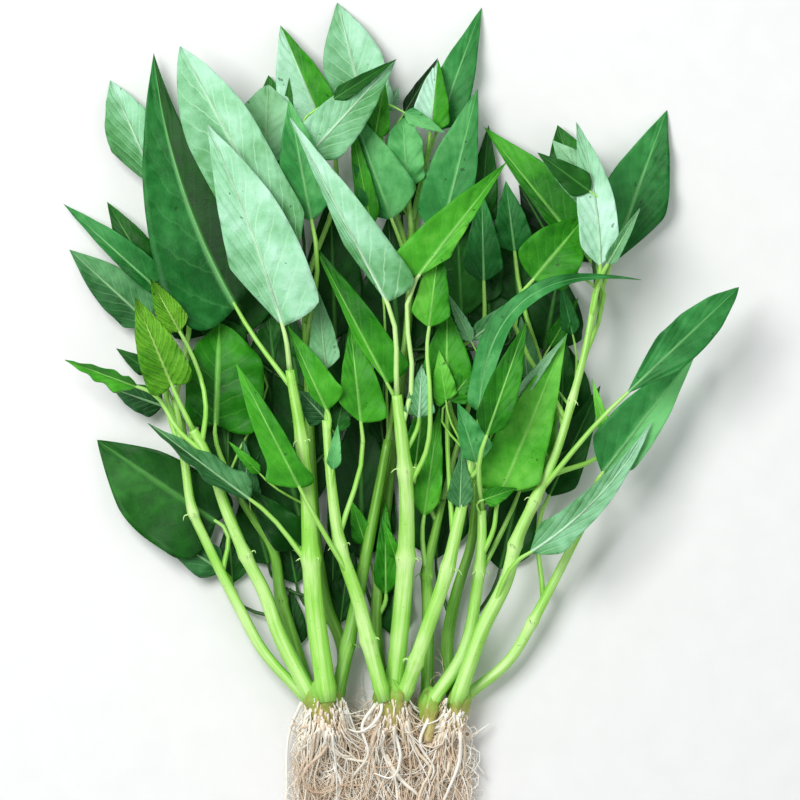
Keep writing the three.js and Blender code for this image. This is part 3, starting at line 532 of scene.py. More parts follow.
leaves = {
    "leaf_low_left_grey": leafOn("stem_far_left", (-89, -86, 7), (-128, -60, 1.5), 18, "grey", (0.3, 0.45),
        foot=(-84, -97)),
    "leaf_low_left": leafOn("stem_far_left", (-92, -61, 7), (-152, -20, 1), 38, "dark", (0.5, 0.7),
        foot=(-88, -88), sides=(1.45, 0.85), arch=1, belly=0.3, lobe=0.05, taper=2, halves=(0, -0.1)),
    "leaf_left_dark": leafOn("stem_far_left", (-119, -3, 8), (-143.5, 5.5, 4), 15, "grey", (0.1, 0.3),
        foot=(-107, -38), taper=2.5),
    "leaf_left_grey": leafOn("stem_far_left", (-125, 38, 9), (-166, 75.5, 1), 23, "grey", (0.3, 0.62),
        foot=(-108, -30), via=[(-116, -7, 17)], sides=(0.9, 1.05), arch=3, belly=0.35, taper=1.7, swing=0.08,
        halves=(-0.1, 0.08)),
    "leaf_left_back_small": leafOn("stem_far_left", (-126, 65, 7), (-147, 99.5, 2), 18, "dark", (0.35, 0.6),
        foot=(-107, -35), via=[(-103, 8, 13)]),
    "leaf_left_back": leafOn("stem_far_left", (-124, 58, 12), (-169, 98.5, 4), 16, "upper", (0.35, 0.6),
        foot=(-110, -17), via=[(-117, 1, 22)], sides=(0.6, 1.2), lobe=0.04, swing=0.08),
    "leaf_top_left_pale": leafOn("stem_far_left", (-120, 104, 10), (-145.5, 160.5, 1), 24, "under",
        (0.3, 0.75), foot=(-112.5, 0), via=[(-105, 45, 18)], sides=(1.15, 1), belly=0.55, lobes=(-0.4, -0.2),
        flare=0.1, taper=1.6, halves=(-0.12, 0.12)),
    "leaf_top_right": leafOn("stem_right", (105.5, 67.5, 9), (134, 145.5, 1), 36, "upper", (0.52, 0.62),
        foot=(94, 32), arch=2, belly=0.35, lobes=(-0.12, -0.32), flare=0, halves=(0.05, -0.12)),
    "leaf_top_tall_right": leafOn("stem_under_centre", (18.5, 135, 8), (41, 197, 1), 23, "upper",
        (0.6, 0.62), foot=(5, 58), belly=0.15, flare=0.12, halves=(0.05, -0.08)),
    "leaf_top_pale": leafOn("stem_under_centre", (-15, 136, 8), (-31.5, 199.5, 1), 31, "under", (0.4, 0.62),
        foot=(5, 70), belly=0.5, taper=1.6, halves=(-0.1, 0.12)),
    "leaf_top_folded": leafOn("stem_under_left", (-37, 133, 9), (-60, 188, 3), 27, "under", (0.6, 0.6),
        foot=(-48, 54), sides=(1.3, 0.85), fold=14, belly=0.3, rightLook="bright", halves=(0.12, -0.2)),
    "leaf_between_stems": leafOn("stem_under_centre", (-7, -98, 9), (-7.5, -50, 12), 12, "bright",
        (0.35, 0.5), foot=(-11, -108)),
    "leaf_low_dark": leafOn("stem_under_left", (-50, -74, 14), (-78, -43, 15), 20, "dark", (0.4, 0.5),
        foot=(-38, -98)),
    "leaf_right_low_dark": leafOn("stem_far_right", (74.5, -48.5, 12), (100.5, 7.5, 8), 21, "dark",
        (0.3, 0.45), foot=(72, -101)),
    "leaf_right_back": leafOn("stem_right", (96, 69, 14), (42, 137, 6), 31, "bright", (0.1, 0.6),
        foot=(88, 8), sides=(0.35, 1.1), belly=0.35, lobe=-0.1, swing=0.06),
    "leaf_right_back_grey": leafOn("stem_right", (57.5, 74, 16), (53, 110, 12), 19, "upper", (0.3, 0.5),
        foot=(81, -15)),
    "leaf_inner_right_dark": leafOn("stem_right_low", (42, 59, 14), (41, 105, 10), 19, "upper", (0.2, 0.45),
        foot=(21.5, -50)),
    "leaf_top_right_inner": leafOn("stem_under_centre", (20, 80, 18), (39, 156, 12), 28, "upper",
        (0.6, 0.75), foot=(5, 66), sides=(1.1, 0.75), belly=0.35, halves=(0.05, -0.1)),
    "leaf_top_small_folded": leafOn("stem_under_centre", (15, 134, 16), (19, 171, 10), 20, "under",
        (0.8, 0.9), foot=(6, 89), sides=(1, 0.9), fold=16, rightLook="bright", halves=(0.1, -0.4)),
    "leaf_crinkled": leafOn("stem_under_centre", (4, 106, 20), (1.5, 141.5, 18), 18, "upper", (0.75, 0.8),
        foot=(6, 84), belly=0.6, taper=2.4, wave=1.8),
    "leaf_centre_back": leafOn("stem_inner_left_low", (-4, 90, 20), (-25, 147, 12), 31, "upper",
        (0.72, 0.65), foot=(-6, -20), sides=(0.8, 1.1), belly=0.18, taper=1.4, halves=(-0.4, 0.12)),
    "leaf_crinkled_left": leafOn("stem_under_left", (-67.5, 117.5, 14), (-66, 158, 8), 26, "grey",
        (0.8, 0.85), foot=(-48, 50), belly=0.5, taper=3, wave=2.4),
    "leaf_top_slanting": leafOn("stem_under_left", (-47, 121, 22), (-2, 170, 16), 25, "under", (0.55, 0.5),
        foot=(-47.5, 44), fold=8, belly=0.3, halves=(0.05, -0.1)),
    "leaf_centre_left": leafOn("stem_under_left", (-44, 89, 26), (-55.5, 150, 18), 24, "upper", (0.6, 0.75),
        foot=(-47, 28), belly=0.35),
    "leaf_left_broad": leafOn("stem_left_low", (-92.5, -12.5, 17), (-90.5, 39, 14), 42, "bright",
        (0.1, 0.36), foot=(-86, -38), sides=(0.75, 1.15), belly=0.4, lobes=(0.04, 0.08), taper=2.6,
        wave=3.4),
    # its right half takes the dark look, painted shade on the half that slopes away from the lamp
    "leaf_left_large": leafOn("stem_front_left", (-82, 46.5, 26), (-123.5, 174, 8), 58, "upper", (0.32, 0.5),
        foot=(-53, 4), sides=(1, 0.72), bend=7, belly=0.16, lobes=(0.03, -0.06), taper=1.28,
        rightLook="dark", halves=(0, 0.02)),
    "leaf_left_large_pale": leafOn("stem_under_left", (-52.5, 71, 34), (-110, 177, 16), 31, "under",
        (0.35, 0.8), foot=(-47.5, 40), sides=(1.35, 1), belly=0.5, taper=2.6, halves=(-0.1, 0.1)),
    "leaf_pointing_left": leafOn("stem_left", (-131.5, 6.5, 30), (-168, 20, 18), 15, "bright", (0.5, 0.55),
        foot=(-97, -27), via=[(-110, -16, 30)], roll=50, halves=(0.1, -0.1)),
    "leaf_young_back": leafOn("stem_left", (-110, 34, 34), (-125, 61, 28), 15, "young", (0.7, 0.4),
        foot=(-99.5, -22), via=[(-97, -3, 34)]),
    "leaf_young_veined": leafOn("stem_left", (-114, 7.5, 38), (-132.5, 51.5, 32), 24, "young", (0.45, 0.55),
        foot=(-103.5, -15), belly=0.12, lobe=0.05, flare=0.15, taper=1.7),
    "leaf_left_narrow": leafOn("stem_front_left", (-74.5, -50, 36), (-126, -11.5, 30), 19, "grey",
        (0.4, 0.5), foot=(-44.5, -85), roll=-45, lobes=(-0.25, -0.05), flare=0.15, halves=(-0.2, 0.05)),
    "leaf_inner_left_grey": leafOn("stem_inner_left", (-37, 15, 34), (-41, 55, 28), 15, "grey", (0.7, 0.8),
        foot=(-36.5, -14)),
    "leaf_inner_centre": leafOn("stem_inner_left", (-19.5, -11.5, 35), (-25, 39, 30), 23, "bright",
        (0.6, 0.35), foot=(-31, -68), sides=(0.85, 1.15), belly=0.12, lobes=(-0.2, 0), flare=0.12),
    "leaf_inner_left": leafOn("stem_inner_left", (-36.5, -5.5, 40), (-56.5, 37.5, 34), 18, "bright",
        (0.6, 0.45), foot=(-36.5, -17), sides=(0.45, 1.25), belly=0.1, lobes=(-0.2, -0.08), flare=0.2),
    "leaf_front_low": leafOn("stem_inner_left", (-50, -44, 45), (-82, 18.5, 42), 14.5, "bright", (0.5, 0.65),
        foot=(-24, -90), sides=(1.25, 0.9), belly=0.08, lobes=(-0.12, 0.02), flare=0.6, taper=2.2,
        halves=(0.06, -0.08)),
    "leaf_right_inner_grey": leafOn("stem_under_right", (35.5, 30, 22), (72.5, 57.5, 20), 11, "grey",
        (0.6, 0.5), foot=(38, -40)),
    "leaf_right_short": leafOn("stem_right", (66.5, 60, 30), (93, 92, 22), 31, "bright", (0.5, 0.36),
        foot=(83, -10), belly=0.3, lobe=-0.08, flare=0.06, taper=1.7),
    "leaf_low_centre": leafOn("stem_right_low", (12, -58.5, 22), (20, -2.5, 22), 14, "bright", (0.6, 0.5),
        foot=(14, -89)),
    "leaf_low_centre_dark": leafOn("stem_right_low", (8, -32.5, 18), (12, 2, 16), 14, "bright", (0.3, 0.45),
        foot=(19, -62)),
    "leaf_inner_right": leafOn("stem_inner_right", (23.5, 0, 36), (23.5, 46, 34), 29, "bright", (0.42, 0.36),
        foot=(26.5, -72), belly=0.12, lobe=0.02),
    "leaf_long_dark": leafOn("stem_centre", (-6, 7.5, 39), (-43.5, 78.5, 36), 21, "bright", (0.5, 0.25),
        foot=(2, -45), sides=(0.4, 1.25), belly=0.08, lobes=(-0.3, -0.02), flare=0.2, taper=1.6,
        halves=(0.2, -0.05)),
    "leaf_small_pale": leafOn("stem_centre", (9.5, -9, 37), (11, 18, 37), 14, "under", (0.4, 0.7),
        foot=(2, -27), flare=0.2),
    "leaf_lime_narrow": leafOn("stem_centre", (14.5, 36, 50), (20, 83, 46), 19, "bright", (0.65, 0.45),
        foot=(3, -44), via=[(13, -26, 40), (15, 2, 48)], belly=0.12, flare=0.1, taper=1.4, swing=0.1,
        halves=(0.15, -0.15)),
    "leaf_right_mid": leafOn("stem_right_mid", (59.5, -46.5, 17), (80.5, 7, 14), 21, "bright", (0.8, 0.6),
        foot=(39, -90)),
    "leaf_right_rim": leafOn("stem_right", (103, -17, 26), (96, 11, 28), 6, "bright", (0.8, 0.8),
        foot=(72, -40), lobe=-0.1),
    "leaf_right_long": leafOn("stem_inner_right", (39.5, -6, 40), (120.5, 60, 40), 15, "upper", (0.85, 0.4),
        foot=(36, -30), roll=35, bend=29, belly=0.1, lobe=-0.02),
    "leaf_small_arrow": leafOn("stem_inner_right", (38.5, -31.5, 41), (28.5, -1, 45), 17, "upper",
        (0.85, 0.7), foot=(34, -40), sides=(0.7, 1.2), lobe=-0.15),
    "leaf_right_large": leafOn("stem_right_mid", (51, -46, 28), (83.5, 33.5, 34), 31, "bright", (0.72, 0.8),
        foot=(40.5, -80), via=[(47, -64, 24)], sides=(1, 0.95), belly=0.15, lobes=(0.02, -0.1), flare=0.15,
        taper=1.4),
    "leaf_right_olive": leafOn("stem_right_mid", (43, -18.5, 42), (63, 39, 42), 17, "bright", (0.25, 0.4),
        foot=(41, -55), belly=0.35, halves=(0, 0.12)),
    "leaf_far_right_pale": leafOn("stem_far_right", (101, -37, 22), (148.5, 24, 6), 28, "upper", (0.78, 1),
        foot=(98, -43), sides=(1.1, 0.8), belly=0.3, halves=(-0.25, 0.25)),
    "leaf_far_right": leafOn("stem_right", (113, 3, 34), (169.5, 56.5, 24), 21, "upper", (0.5, 0.6),
        foot=(69, -48), belly=0.5, lobe=-0.34, flare=0, taper=2.5, halves=(0.08, -0.08)),
    "leaf_right_low_pale": leafOn("stem_right", (64.5, -76.5, 30), (126, -10.5, 24), 16, "under",
        (0.35, 0.85), foot=(46, -106), bend=-6, flare=0.25),
    "leaf_right_cupped": leafOn("stem_right", (100, 66.5, 40), (88, 139, 32), 20, "under", (0.85, 0.5),
        foot=(98, 56), fold=16, bend=-3, belly=0.38),
    "leaf_right_rolled": leafOn("stem_right", (103.5, 67.5, 46), (120, 96, 42), 8, "grey", (0.6, 0.7),
        foot=(95, 40), fold=40, lobe=-0.1),
    "leaf_top_front": leafOn("stem_centre", (9, 61.5, 58), (53.5, 119, 50), 28, "bright", (0.75, 0.55),
        foot=(0.5, -14), via=[(5.5, 4, 47)], sides=(1.1, 0.45), fold=10, belly=0.15, lobes=(0.06, -0.22),
        flare=0.2, taper=1.3, swing=0.02, stalkTone=0.95),
    "leaf_centre_bright": leafOn("stem_centre", (-6.5, 48.5, 60), (-55, 141, 56), 28, "under", (0.3, 0.95),
        foot=(-1.5, 2.5), sides=(0.45, 1.2), fold=10, belly=0.12, lobes=(-0.32, 0), flare=0.15, taper=1.3,
        swing=0.02, stalkTone=0.95),
    "leaf_front_pale": leafOn("stem_front_left", (-58.5, 36.5, 54), (-96.5, 138, 50), 39, "under",
        (0.6, 0.8), foot=(-55, 15), sides=(0.85, 1.12), bend=-2, lobes=(-0.3, -0.03), taper=1.9,
        halves=(-0.06, 0.08), stalkTone=0.95),
}
# How blades are made: the half width, the base with its lobes or shoulders, and how the surface folds,
# waves and crinkles. narrow, thickness, fullWave, crinkle and fullCrinkle are in millimetres, and most of
# the others are shares.
# A blade no wider than narrow has the coarser grid, and backFrom is how far down a face looks before it
# takes the look of the blade's other side.
bladeForm = dict(grid=(16, 40), narrowGrid=(10, 24), narrow=14, thickness=0.35, base=0.96, drawnOut=0.15,
                 drawnFrom=0.6, lobeTip=0.84, shoulder=0.92, shoulderReach=0.14, flareReach=0.1, corner=0.18,
                 lobeWidest=0.82, lobeNotch=0.3, foldCurve=1.25, waves=(2.2, 3.6), waveFade=0.4, fullWave=8,
                 crinkle=1.3, crinkleGrain=(1.8, 6, 0.37), fullCrinkle=6, backFrom=-0.02, ribSteps=12,
                 halfEdge=8)
# The stalk and the midrib that it runs on as: how thick they are along their way, as shares of the stalk's
# foot, where the midrib starts and how far it goes, and how far it stands out of a pale or a green side.
# Where no table gives a foot, it is looked for by length behind the blade.
stalkForm = dict(sides=8, steps=4, end=0.6, rib=0.55, ribTaper=0.82, ribPoints=9, ribFrom=0.02, ribSpan=0.93,
                 paleRise=0.1, greenRise=-0.3, length=28, toneRise=0.1, ribColourFrom=0.02)


def liftOf(name, leaf):
    # how far the solid's leaf was raised above the table's heights: its tip is found in the node's mesh
    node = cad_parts[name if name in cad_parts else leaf["on"]]
    tip = toFrame @ Vector(leaf["tip"])
    nearest = min((v.co for v in node.data.vertices), key=lambda p: (p.x - tip.x) ** 2 + (p.y - tip.y) ** 2)
    return (nearest.z - tip.z) * 1000


def slotOf(materials, material):
    if material not in materials:
        materials.append(material)
    return materials.index(material)


def midribOf(leaf, lift):
    # the midrib's point and heading at any share of its length
    base, tip = (Vector(end) + Vector((0, 0, lift)) for end in (leaf["base"], leaf["tip"]))
    run = tip - base
    sideways = Vector((-run.y, run.x, 0)).normalized() * leaf["bend"]
    middle = (base + tip) / 2 + sideways + Vector((0, 0, leaf["arch"]))
    control = middle * 2 - (base + tip) / 2

    def ribPoint(s):
        return base * (1 - s) ** 2 + control * (2 * s * (1 - s)) + tip * s ** 2

    def ribHeading(s):
        return ((control - base) * (1 - s) + (tip - control) * s).normalized()

    return ribPoint, ribHeading


def spreadOver(faces):
    # these faces and all that hang together with them
    spread, stack = set(faces), list(faces)
    while stack:
        for e in stack.pop().edges:
            for g in e.link_faces:
                if g not in spread:
                    spread.add(g)
                    stack.append(g)
    return spread


def growBlade(bm, materials, leaf, ribPoint, ribHeading, seed):
    # the blade: a sheet laid along the midrib and made solid, each side with its own look
    form = bladeForm
    base, start = ribPoint(0), ribHeading(0)
    steps = form["ribSteps"]
    length = sum((ribPoint((i + 1) / steps) - ribPoint(i / steps)).length for i in range(steps))
    lobes = leaf.get("lobes", (leaf["lobe"], leaf["lobe"]))
    fold = math.radians(leaf["fold"])
    bits = random.Random(seed)
    waves = bits.uniform(*form["waves"])
    phases = (bits.uniform(*anyAngle), bits.uniform(*anyAngle))

    def halfWidth(s, side):
        widest, belly = leaf["width"] / 2 * leaf["sides"][side], leaf["belly"]
        if s >= belly:
            towardsTip = max(0, (s - form["drawnFrom"]) / (1 - form["drawnFrom"]))
            full = 1 - ((s - belly) / (1 - belly)) ** leaf["taper"]
            return widest * (1 - form["drawnOut"] * towardsTip) * full
        return widest * (1 - (1 - form["base"]) * min((belly - s) / belly, 1) ** 2)

    def place(across, along):
        u = across * 2 - 1
        out = abs(u)
        side = 0 if u < 0 else 1
        lobe = lobes[side]
        narrowed = form["lobeTip" if lobe > 0 else "shoulder"]
        reach = halfWidth(along - lobe * (1 - along), side)
        reach *= 1 - (1 - narrowed) * max(0, 1 - along / form["shoulderReach"]) ** 2
        # an arrowhead's base flares out beyond a slight waist
        reach *= 1 + leaf["flare"] * math.exp(-(along / form["flareReach"]) ** 2)
        # a lobe is rounded and reaches back beside the stalk; without one the base slants up to its shoulder
        back = out
        if lobe > 0:
            beyond = max(0, (out - form["lobeWidest"]) / (1 - form["lobeWidest"]))
            back = math.sin(min(out / form["lobeWidest"], 1) * math.pi / 2) - form["lobeNotch"] * beyond ** 2
        corner = form["corner"] * reach / length * out ** 4 * (1 - along) ** 6
        here = along - lobe * (1 - along) * back + corner
        spot = base + start * (here * length) if here < 0 else ribPoint(here)
        sideOf, up = frameAt(ribHeading(max(here, 0)), leaf["roll"])
        rise = reach * math.sin(fold) * out ** form["foldCurve"]
        wave = math.sin(waves * fullTurn * along + phases[side]) * (1 - along * form["waveFade"])
        rise += leaf["wave"] * wave * out ** 2 * min(1, reach / form["fullWave"])
        wide, long, apart = form["crinkleGrain"]
        crinkle = form["crinkle"] * noise.noise(Vector((u * wide + seed, along * long, seed * apart)))
        rise += crinkle * min(1, reach / form["fullCrinkle"]) * out
        return spot + sideOf * (u * reach * math.cos(fold)) + up * rise

    def toneOf(across, along):
        # each half takes its painted light or painted shade, fading in from the midrib
        half = leaf["halves"][0 if across < 0.5 else 1] * min(1, abs(across - 0.5) * form["halfEdge"])
        return blend(*leaf["tone"], along) + half

    looks = (leaf["look"], leaf.get("rightLook", leaf["look"]))
    tops = [slotOf(materials, blades[look]) for look in looks]
    backs = [slotOf(materials, blades[otherSide[look]]) for look in looks]
    columns, rows = form["grid"] if leaf["width"] > form["narrow"] else form["narrowGrid"]
    made = addSheet(bm, columns, rows, place, lambda across, along: tops[0 if across < 0.5 else 1], toneOf)
    bmesh.ops.remove_doubles(bm, verts=made, dist=0.02)
    ownFaces = {f for v in made if v.is_valid for f in v.link_faces}
    sheet = [f for f in bm.faces if f in ownFaces]
    bmesh.ops.recalc_face_normals(bm, faces=sheet)
    if sum(f.normal.z for f in sheet) < 0:
        bmesh.ops.reverse_faces(bm, faces=sheet)
    bmesh.ops.solidify(bm, geom=sheet, thickness=form["thickness"])
    bm.normal_update()
    for face in spreadOver({f for v in made if v.is_valid for f in v.link_faces}):
        face.smooth = True
        if face.normal.z < form["backFrom"] and face.material_index in tops:
            face.material_index = backs[tops.index(face.material_index)]


def growStalk(bm, materials, leaf, ribPoint, ribHeading):
    # the stalk, from its foot on the stem, and the midrib that it runs on as
    form = stalkForm
    base, run = ribPoint(0), ribPoint(1) - ribPoint(0)
    behindBase = base - Vector((run.x, run.y, 0)).normalized() * form["length"]
    foot = nearestOn(leaf["on"], leaf.get("foot", behindBase[:2]))
    beforeBlade = base - ribHeading(0) * (leaf["swing"] * (base - foot).length)
    rise = form["paleRise" if leaf["look"] in ("under", "grey") else "greenRise"]
    ribLine = []
    for i in range(form["ribPoints"]):
        s = form["ribFrom"] + form["ribSpan"] * i / (form["ribPoints"] - 1)
        side, up = frameAt(ribHeading(s), leaf["roll"])
        ribLine.append(ribPoint(s) + up * rise)
    stalkLine = [foot, *(Vector(spot) for spot in leaf["via"]), beforeBlade]
    path = smoothPath(stalkLine + ribLine, form["steps"])
    stalkEnd = form["steps"] * len(stalkLine)
    radii = []
    for i in range(len(path)):
        if i <= stalkEnd:
            radii.append(leaf["stalk"] * blend(1, form["end"], i / stalkEnd))
        else:
            along = (i - stalkEnd) / (len(path) - stalkEnd)
            radii.append(leaf["stalk"] * form["rib"] * (1 - form["ribTaper"] * along))
    stalkSlot = slotOf(materials, stemSkins[leaf["stalkLook"]])
    ribSlot = slotOf(materials, ribs[leaf["look"]])
    ribStart = stalkEnd / (len(path) + 1) + form["ribColourFrom"]
    addTube(bm, path, radii, form["sides"], lambda across, along: ribSlot if along > ribStart else stalkSlot,
            lambda across, along: leaf["stalkTone"] + form["toneRise"] * along)


def growLeaf(bm, materials, leaf, lift, seed):
    ribPoint, ribHeading = midribOf(leaf, lift)
    growBlade(bm, materials, leaf, ribPoint, ribHeading, seed)
    growStalk(bm, materials, leaf, ribPoint, ribHeading)


for number, (name, leaf) in enumerate(leaves.items()):
    materials = []
    bm = bmesh.new()
    growLeaf(bm, materials, leaf, liftOf(name, leaf), number)
    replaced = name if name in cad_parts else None
    finishPiece(camel(name), bm, materials, replaced)
print("leaves ready:", len(leaves))


def leafBeside(other, base, tip, width, look, tone, **more):
    # a small leaf beside one of the table above, and on the same stem unless more names another
    small = dict(beside=other, stalk=0.7, arch=2, fold=8)
    return leafOn(leaves[other]["on"], base, tip, width, look, tone, **small) | more


# Small leaves and folded edges between the large ones. Heights are as in the table of the leaf beside each.
smallLeaves = {
    "edge_top_dark": leafBeside("leaf_top_slanting", (-33.5, 150, 25), (-1.5, 170.5, 19), 8, "dark",
        (0.65, 0.5)),
    "fold_left": leafBeside("leaf_top_folded", (-57, 124, 12), (-55.5, 161.5, 12), 9, "dark", (0.35, 0.75)),
    "strip_lime": leafBeside("leaf_centre_back", (-14, 86, 22), (-25, 141, 20), 11, "bright", (0.3, 0.45)),
    "back_small": leafBeside("leaf_centre_back", (-13, 130, 14), (-7.5, 160, 14), 13, "bright", (0.4, 0.5),
        on="stem_under_centre"),
    "edge_dark": leafBeside("leaf_top_small_folded", (2, 143.5, 15), (19, 171.5, 12), 7, "dark",
        (0.15, 0.1)),
    "top_bit": leafBeside("leaf_crinkled", (2, 144, 22), (23, 133.5, 20), 8, "upper", (0.85, 0.95)),
    "tip_pale": leafBeside("leaf_top_pale", (-6, 145, 10), (-0.5, 157, 8), 7, "under", (0.5, 0.55)),
    "tip_lime": leafBeside("leaf_top_pale", (-17, 157, 9), (-12.5, 169.5, 7), 6, "bright", (0.5, 0.6)),
    "inner_face": leafBeside("leaf_right_cupped", (95, 104, 42.5), (68.5, 123.5, 43.5), 14, "dark",
        (0.55, 0.6)),
    "inner_rim": leafBeside("leaf_right_cupped", (96, 99, 37), (69.5, 122, 36), 11, "under", (0.3, 0.6)),
    "inner_back": leafBeside("leaf_right_cupped", (95, 108, 34), (76, 130, 32), 18, "grey", (0.8, 0.9)),
    "grey_lobe": leafBeside("leaf_right_inner_grey", (36, 28.5, 24), (23.5, 54, 24), 7, "grey", (0.75, 0.6)),
    "dark_corner": leafBeside("leaf_right_back_grey", (75, 81, 10), (59.5, 108, 8), 17, "dark", (0.1, 0.15)),
    "dark_small": leafBeside("leaf_inner_centre", (-32, -16, 31), (-27, 6, 29), 12, "dark", (0.65, 0.45)),
    "folded_lobe": leafBeside("leaf_right_large", (41.5, -50, 31), (58.5, -44, 31), 10, "bright",
        (0.35, 0.3)),
    "pale_band": leafBeside("leaf_right_large", (53, -6, 34), (84, 33.5, 38), 7, "grey", (0.95, 0.85)),
    "pale_round": leafBeside("leaf_right_mid", (70.5, -2, 20), (78, 20, 20), 12, "under", (0.6, 0.85),
        on="stem_right", taper=3),
    "crinkled_right": leafBeside("leaf_right_mid", (81, -4, 14), (82, 33, 14), 15, "dark", (0.5, 0.7),
        on="stem_right", wave=2),
    "grey_inner": leafBeside("leaf_right_mid", (64, 10, 17), (60.5, 42, 16), 14, "grey", (0.5, 0.6)),
    "bright_inner": leafBeside("leaf_right_mid", (75, 26.5, 18), (89.5, 51.5, 18), 9, "bright", (0.35, 0.45),
        on="stem_right"),
    "green_inner": leafBeside("leaf_right_mid", (86.5, 32.5, 19), (80.5, 59, 19), 9, "upper", (0.5, 0.65),
        on="stem_right"),
    "left_fold": leafBeside("leaf_left_broad", (-78.5, 25, 10), (-105, 45, 8), 18, "dark", (0.4, 0.5)),
    "grey_small": leafBeside("leaf_low_dark", (-75, -54, 13), (-78.5, -19, 12), 12, "grey", (0.2, 0.3)),
    "lime_curved": leafBeside("leaf_low_dark", (-70, -37, 20), (-86, -20.5, 20), 6, "bright", (0.5, 0.65)),
    "grey_centre": leafBeside("leaf_inner_left", (-36.5, -10, 30), (-50.5, 5, 28), 16, "grey", (0.25, 0.35)),
    "bud_pale": leafBeside("leaf_inner_left", (-33.5, -35, 38), (-31, -12, 38), 7, "upper", (0.8, 0.9)),
    "lit_strip": leafBeside("leaf_inner_right", (23, -0.5, 41), (19.5, 25, 41), 12, "bright", (0.75, 0.7),
        lobes=(0.1, -0.1)),
    "turned_lobe": leafBeside("leaf_inner_right", (24.5, -0.5, 39), (40.5, 19, 38), 15, "bright",
        (0.4, 0.3)),
    "grey_low": leafBeside("leaf_small_arrow", (30, -54, 34), (31, -25, 34), 13, "grey", (0.4, 0.55)),
    "lime_crumpled": leafBeside("leaf_between_stems", (-17, -73, 14), (-24.5, -50, 16), 11, "bright",
        (0.45, 0.55), wave=2),
    "lime_curl": leafBeside("leaf_between_stems", (-2, -79, 16), (-8.5, -60, 18), 6, "bright", (0.5, 0.7),
        on="stem_centre"),
    "dark_left_tip": leafBeside("leaf_left_grey", (-125, 14, 8), (-142.5, 26, 6), 9, "dark", (0.4, 0.7)),
}
# Leaves that show only as dark green in the gaps, their colour painted shade where shade falls between the
# leaves above: stem, base, tip, width and tones
shadedLeaves = [
    ("stem_under_left", (-50, -60, 4), (-72.5, 35, 2.5), 36, (0.1, 0.2)),
    ("stem_under_left", (-32.5, 30, 4), (-35, 105, 2.5), 30, (0, 0.1)),
    ("stem_inner_left_low", (0, 20, 5), (-6, 92.5, 3.5), 36, (0.05, 0.15)),
    ("stem_under_centre", (31, 41, 7), (28.5, 98.5, 5.5), 24, (0.35, 0.3)),
    ("stem_under_right", (26, -25, 5), (19, 57.5, 3.5), 34, (0.1, 0.2)),
    ("stem_right_mid", (72.5, 25, 6), (80, 66, 4.5), 34, (0.15, 0.1)),
    ("stem_right", (86, -10, 4), (78, 35, 2.5), 24, (0.1, 0.2)),
    ("stem_under_left", (-66, -82.5, 3), (-77.5, -40, 1.5), 26, (0.15, 0.25)),
    ("stem_under_centre", (-19, -80, 3), (-20, 2.5, 1.5), 34, (0.05, 0.15)),
    ("stem_under_right", (18, -80, 3), (15, 2.5, 1.5), 34, (0.05, 0.15)),
    ("stem_right_mid", (50, -85, 3), (65, -25, 1.5), 26, (0.1, 0.1)),
    ("stem_under_left", (-45, -35, 5), (-57.5, 50, 3.5), 30, (0.15, 0.1)),
    ("stem_under_left", (-50, 92.5, 4), (-59, 144, 2.5), 26, (0.1, 0.2)),
    ("stem_under_centre", (1, 92.5, 4), (2, 144, 2.5), 26, (0.1, 0.2)),
    ("stem_under_centre", (35, 45, 5), (41, 104, 3.5), 30, (0.15, 0.2)),
    ("stem_right", (96, 69, 5), (83, 105, 3.5), 22, (0.2, 0.3)),
    ("stem_left_low", (-97.5, 32.5, 3), (-117.5, 64, 1.5), 28, (0.1, 0.2)),
    ("stem_left_low", (-84, -40, 3), (-92.5, 10, 1.5), 30, (0.15, 0.2)),
    ("stem_under_centre", (60, 47.5, 5), (54, 102.5, 3.5), 26, (0.1, 0.2)),
    ("stem_under_left", (-77.5, 32.5, 4), (-91, 87.5, 2.5), 34, (0.1, 0.15)),
    ("stem_under_right", (60, 0, 4), (52.5, 50, 2.5), 28, (0.1, 0.15)),
    ("stem_under_centre", (40, 84, 6), (44.5, 138, 4), 15, (0.2, 0.3)),
    ("stem_under_left", (-30, -112, 3), (-24, -66, 2), 14, (0.15, 0.2)),
    ("stem_under_left", (-62, 8, 3), (-66, 44, 2), 26, (0.15, 0.2)),
    ("stem_under_left", (-52, -92, 3), (-58, -60, 2), 16, (0.1, 0.2)),
    ("stem_under_centre", (-4, -118, 3), (-2, -70, 2), 16, (0.1, 0.15)),
    ("stem_under_centre", (-6, -24, 3), (-3, 16, 2), 20, (0.15, 0.2)),
    ("stem_right_mid", (48, -40, 3), (52, -2, 2), 20, (0.15, 0.2)),
    ("stem_left_low", (-84, -92, 3), (-86, -60, 2), 14, (0.1, 0.2)),
    ("stem_left_low", (-52, -124, 3), (-55, -94, 2), 12, (0.05, 0.15)),
    ("stem_under_left", (-28, -8, 5), (-27, 36, 4), 24, (0.1, 0.2)),
    ("stem_under_right", (46, 32, 4), (43, 66, 3), 22, (0.15, 0.2)),
    ("stem_right", (90, 104, 6), (79, 138, 5), 24, (0.3, 0.45)),
    ("stem_under_left", (-34, -98, 3), (-33, -58, 2), 11, (0.1, 0.2)),
    ("stem_under_left", (-62, 136, 4), (-66, 163, 3), 18, (0.3, 0.4)),
    ("stem_under_centre", (-9, -8, 8), (-7, 26, 6), 18, (0.1, 0.2)),
]
# What those leaves share, and how much lighter they are than the table's tones
shadedForm = dict(arch=1.5, fold=4, belly=0.35, stalk=1.0, stalkLook="shadedStem", stalkTone=0.2)
shadeLightened = 0.3

bm = bmesh.new()
materials = []
for number, leaf in enumerate(smallLeaves.values()):
    neighbour = leaf["beside"]
    growLeaf(bm, materials, leaf, liftOf(neighbour, leaves[neighbour]), 100 + number)
finishPiece("smallLeaves", bm, materials)

